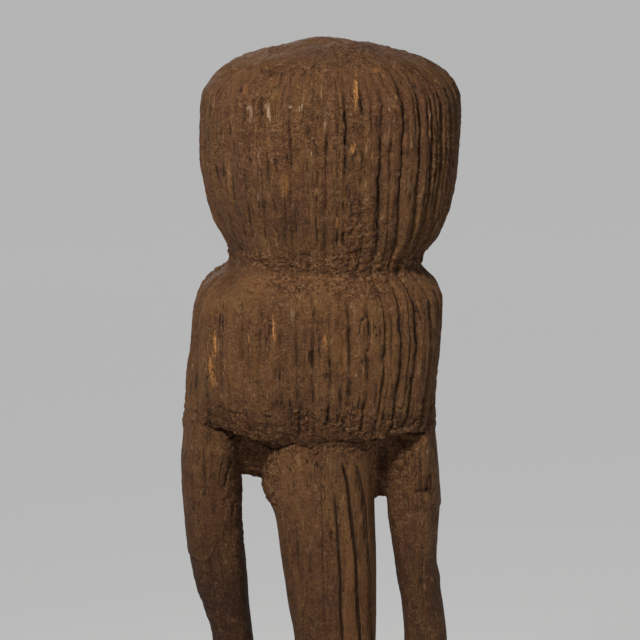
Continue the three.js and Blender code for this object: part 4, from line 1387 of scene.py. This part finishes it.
    speck = n.noise(place, 620.0, 3.0, 0.72)
    zone = n.spread(crust, 0.40, 0.82, 0.24, 1.0)
    curl = n.math("ABSOLUTE", n.math("SUBTRACT", n.noise(bent(n.scaled(place, (1, 1, 1.5)), 190.0, 0.006), 235.0, 1.0, 0.5), 0.5))
    ridge = n.math("MULTIPLY", n.spread(curl, 0.012, 0.055, 1.0, 0.0), n.spread(n.noise(place, 140.0, 2.0, 0.6), 0.42, 0.58, 0.25, 1.0))
    ridge = n.math("MULTIPLY", ridge, zone)
    gap = n.math("MULTIPLY", n.spread(curl, 0.075, 0.17), zone)
    apart_from, which = n.spots(bent(n.scaled(place, (1, 1, 1.2)), 300.0, 0.0035), 345.0)
    parts = n.add("ShaderNodeSeparateColor")
    n.link(which, parts.inputs[0])
    crumb = n.math("MULTIPLY", n.spread(apart_from, 0.10, 0.50, 1.0, 0.0), n.spread(parts.outputs[0], 0.35, 0.9, 0.2, 1.0))
    crumb = n.math("MULTIPLY", crumb, n.math("ADD", n.math("MULTIPLY", zone, 0.75), 0.25))
    crusty = n.mix(n.spread(speck, 0.42, 0.58), wood(76, 44, 27), wood(134, 88, 54))
    colour = n.mix(n.math("MULTIPLY", zone, 0.40), colour, crusty)
    colour = n.mix(n.math("MULTIPLY", gap, 0.52), colour, wood(48, 28, 18))
    colour = n.mix(n.math("MULTIPLY", n.math("MULTIPLY", crumb, n.spread(parts.outputs[1], 0.55, 0.8)), 0.40), colour, wood(182, 142, 106))
    colour = n.mix(n.math("MULTIPLY", ridge, 0.54), colour, wood(184, 143, 116))

    # short pale fibres and fine dark checks along the grain, in patches
    def thin_lines(vector, scale, width, where):
        off = n.math("ABSOLUTE", n.math("SUBTRACT", n.noise(vector, scale, 1.5, 0.5, 0.4), 0.5))
        return n.math("MULTIPLY", n.spread(off, 0.3 * width, width, 1.0, 0.0), where, True)

    hairs = thin_lines(n.scaled(grain, (1, 1, 0.14)), 330.0, 0.030, n.spread(n.noise(n.scaled(grain, (1, 1, 0.35)), 150.0, 2.0, 0.6), 0.50, 0.62))
    checks = thin_lines(n.scaled(grain, (1, 1, 0.11)), 240.0, 0.024, n.spread(n.noise(n.scaled(grain, (1, 1, 0.30)), 120.0, 2.0, 0.6), 0.50, 0.62))
    colour = n.mix(n.math("MULTIPLY", n.math("MULTIPLY", hairs, fine), 0.46), colour, wood(172, 133, 103))
    colour = n.mix(n.math("MULTIPLY", n.math("MULTIPLY", checks, fine), 0.78), colour, wood(41, 24, 12))

    # painted shade and old grime, broken into crumbs
    grime_shade_mix = n.math("ADD", grime_and_shade, n.math("MULTIPLY", n.math("SUBTRACT", n.math("ADD", speck, dust), 1.0), 1.3))
    colour = n.mix(n.spread(grime_shade_mix, 0.15, 1.05, 0.0, 0.80), colour, (0.47, 0.385, 0.32, 1.0), "MULTIPLY")

    # bottoms of cuts hold the old dark surface; the dust on what stands proud is lighter
    colour = n.mix(n.spread(n.math("ADD", sunk, n.math("MULTIPLY", n.math("SUBTRACT", wide, 0.5), 1.6)), 0.5, 3.6, 0.0, 0.42), colour, wood(52, 33, 22))
    # painted shade: dark along the bottom lines of cuts and cracks and along the undercut and elbow edges
    edge = n.math("ADD", line, n.math("MULTIPLY", n.math("SUBTRACT", speck, 0.5), 0.9))
    colour = n.mix(n.spread(edge, 0.25, 1.0, 0.0, 0.55), colour, wood(39, 22, 11))

    # painted shade: thin dark lines along the bottoms of cuts; and the pale torn strands
    shake = n.math("ADD", n.math("MULTIPLY", n.math("SUBTRACT", thin, 0.5), 1.5), n.math("MULTIPLY", n.math("SUBTRACT", grit, 0.5), 1.4))

    def streak(name, inner, outer):
        outputs = parted(name)
        far = n.math("ABSOLUTE", n.math("ADD", outputs[0], shake))
        return n.math("MULTIPLY", n.spread(far, inner, outer, 1.0, 0.0), outputs[1], True)

    bottom = n.math("MAXIMUM", streak("cut", 0.30, 1.10), streak("lesser_cut", 0.15, 0.85))
    colour = n.mix(n.math("MULTIPLY", bottom, 0.78), colour, wood(32, 17, 8))
    strand = streak("strand", 0.2, 0.9)
    colour = n.mix(n.math("MULTIPLY", strand, 0.48), colour, wood(150, 110, 72))

    # scattered flecks, a few red or orange, most tan; the tan ones are partly painted highlights, as on crumb edges
    distance, random = n.spots(bent(n.scaled(grain, (1, 1, 0.45)), 420.0, 0.003), 250.0)
    apart = n.add("ShaderNodeSeparateColor")
    n.link(random, apart.inputs[0])
    here = n.spread(n.noise(place, 42.0, 2.0, 0.6), 0.46, 0.62, 0.12, 1.0)
    here = n.math("MULTIPLY", here, n.spread(height_z, 0.34, 0.50, 0.25, 1.0))
    fleck = n.math("MULTIPLY", n.spread(distance, 0.05, 0.22, 1.0, 0.0), n.spread(apart.outputs[0], 0.60, 0.70))
    fleck = n.math("MULTIPLY", fleck, here)
    colour = n.mix(n.math("MULTIPLY", fleck, 0.78), colour, wood(190, 153, 124))
    red = n.math("MULTIPLY", n.spread(distance, 0.05, 0.22, 1.0, 0.0), n.spread(apart.outputs[1], 0.91, 0.95))
    colour = n.mix(n.math("MULTIPLY", red, 0.45), colour, wood(150, 84, 48))
    hole = n.math("MULTIPLY", n.spread(distance, 0.04, 0.21, 1.0, 0.0), n.spread(apart.outputs[2], 0.60, 0.70))
    colour = n.mix(n.math("MULTIPLY", hole, 0.76), colour, wood(35, 20, 10))

    # the marks with names, their edges broken up by the grain
    torn = n.math("MULTIPLY", n.math("SUBTRACT", n.math("ADD", n.math("MULTIPLY", hair, 1.4), n.math("MULTIPLY", speck, 1.0)), 1.2), 5.5)

    def spot(name):
        outputs = parted(name)
        far = n.math("ADD", n.math("MULTIPLY", outputs[0], outputs[0]), n.math("MULTIPLY", outputs[1], outputs[1]))
        return n.math("MULTIPLY", n.math("MULTIPLY", n.spread(n.math("ADD", far, torn), 0.1, 2.0, 1.0, 0.0), outputs[2], True), n.spread(thin, 0.36, 0.52, 0.30, 1.0))

    worn, pale = spot("worn"), spot("pale")
    colour = n.mix(n.math("MULTIPLY", worn, 0.86), colour, wood(212, 150, 93))
    # painted highlight: the pale glint marks
    colour = n.mix(n.math("MULTIPLY", pale, 0.80), colour, wood(200, 178, 158))
    colour = n.mix(n.math("MULTIPLY", pit, 0.8, True), colour, wood(32, 20, 14))
    n.link(colour, shader.inputs["Base Color"])

    rough = n.spread(n.noise(n.scaled(grain, (1, 1, 0.2)), 160.0, 3.0, 0.6), 0.35, 0.65, 0.70, 0.90)
    rough = n.math("SUBTRACT", rough, n.math("MULTIPLY", pale, 0.25))
    rough = n.math("ADD", rough, n.math("MULTIPLY", crust, 0.08), True)
    n.link(rough, shader.inputs["Roughness"])
    shader.inputs["Specular IOR Level"].default_value = 0.24

    height = n.math("MULTIPLY", wide, 0.5)
    height = n.math("ADD", height, n.math("MULTIPLY", thin, 0.66))
    height = n.math("ADD", height, n.math("MULTIPLY", hair, 0.22))
    height = n.math("ADD", height, n.math("MULTIPLY", grit, 0.85))
    height = n.math("ADD", height, n.math("MULTIPLY", dust, 0.70))
    height = n.math("ADD", height, n.math("MULTIPLY", n.math("MULTIPLY", speck, n.math("ADD", crust, 0.20)), 0.9))
    height = n.math("ADD", height, n.math("ADD", n.math("MULTIPLY", ridge, 0.42), n.math("MULTIPLY", crumb, 0.50)))
    height = n.math("SUBTRACT", height, n.math("ADD", n.math("MULTIPLY", gap, 0.26), n.math("MULTIPLY", checks, 0.40)))
    height = n.math("SUBTRACT", height, n.math("MULTIPLY", hole, 0.22))
    height = n.math("SUBTRACT", height, n.math("MULTIPLY", bottom, 0.75))
    height = n.math("ADD", height, n.math("MULTIPLY", strand, 0.45))
    height = n.math("ADD", height, n.math("MULTIPLY", hairs, 0.25))
    height = n.math("MULTIPLY", height, fine)
    bump = n.add("ShaderNodeBump")
    bump.inputs["Strength"].default_value = 1.0
    bump.inputs["Distance"].default_value = 0.0015
    n.link(height, bump.inputs["Height"])
    n.link(bump.outputs[0], shader.inputs["Normal"])
    return material


mesh.materials.clear()
mesh.materials.append(hardwood())

# ------------------------------------------------------------------------------------------------ floor, light, camera


def floor_material():
    """A pale matt floor with an even glow of its own, so that it stays pale far from the lights."""
    material = bpy.data.materials.new("pale_floor")
    n = Nodes(material)
    out = n.add("ShaderNodeOutputMaterial")
    shader = n.add("ShaderNodeBsdfPrincipled")
    shader.inputs["Base Color"].default_value = (0.42, 0.42, 0.42, 1.0)
    shader.inputs["Roughness"].default_value = 0.9
    shader.inputs["Emission Color"].default_value = (0.80, 0.80, 0.795, 1.0)
    shader.inputs["Emission Strength"].default_value = 0.48
    n.link(shader.outputs[0], out.inputs["Surface"])
    material.cycles.emission_sampling = "NONE"
    return material


def sweep():
    """A wide round floor that curves up far away into a low wall, the same from every side."""
    flat, radius, around = 4.6, 5.5, 96
    profile = [(1.0, 0.0), (2.5, 0.0), (flat, 0.0)]
    profile += [(flat + radius * math.sin(a), radius - radius * math.cos(a)) for a in np.radians(np.linspace(0, 66, 34)[1:])]
    turn = np.arange(around) * 2 * math.pi / around
    points = [(0.0, 0.0, 0.0)] + [(r * math.cos(t), r * math.sin(t), h) for r, h in profile for t in turn]
    faces = [(0, 1 + k, 1 + (k + 1) % around) for k in range(around)]
    for ring in range(len(profile) - 1):
        for k in range(around):
            a, b = 1 + ring * around + k, 1 + ring * around + (k + 1) % around
            faces += [(a, a + around, b), (b, a + around, b + around)]
    floor = to_object("floor_sweep", np.array(points) * 1000.0, np.array(faces))
    floor.data.polygons.foreach_set("use_smooth", np.ones(len(floor.data.polygons), bool))
    floor.data.materials.append(floor_material())


sweep()


def area_light(name, place, target, size, power, colour=(1, 1, 1), spread=180.0):
    data = bpy.data.lights.new(name, "AREA")
    data.shape, data.size, data.energy, data.color = "DISK", size, power, colour
    data.spread = math.radians(spread)
    light = bpy.data.objects.new(name, data)
    light.location = place
    light.rotation_euler = (Vector(target) - Vector(place)).to_track_quat("-Z", "Y").to_euler()
    light.visible_camera = False
    bpy.context.scene.collection.objects.link(light)


area_light("key", (-0.45, -1.07, 1.53), (0, 0, 0.60), 0.20, 4.1, (1.0, 0.975, 0.94), 80.0)
area_light("fill", (2.2, -2.2, 1.3), (0, 0, 0.5), 2.0, 3.0, (0.95, 0.97, 1.0))
area_light("back", (-0.3, 2.7, 1.6), (0, 0, 0.45), 0.8, 3.2, (1.0, 0.98, 0.96), 40.0)

world = bpy.data.worlds.new("soft_room")
bpy.context.scene.world = world
world.use_nodes = True
background = world.node_tree.nodes.get("Background") or world.node_tree.nodes.new("ShaderNodeBackground")
background.inputs[0].default_value = (0.85, 0.85, 0.87, 1.0)
background.inputs[1].default_value = 0.12
bpy.context.scene.view_settings.view_transform = "Standard"

PITCH = math.radians(9.0)
DISTANCE = 2.2
target = Vector((0, 0, 0.5882))
camera_data = bpy.data.cameras.new("camera")
camera_data.sensor_width = 36.0
camera_data.lens = 36.0 * DISTANCE / 0.480
camera = bpy.data.objects.new("camera", camera_data)
camera.location = target + Vector((0, -math.cos(PITCH), math.sin(PITCH))) * DISTANCE
camera.rotation_euler = (math.pi / 2 - PITCH, 0, 0)
bpy.context.scene.collection.objects.link(camera)
bpy.context.scene.camera = camera
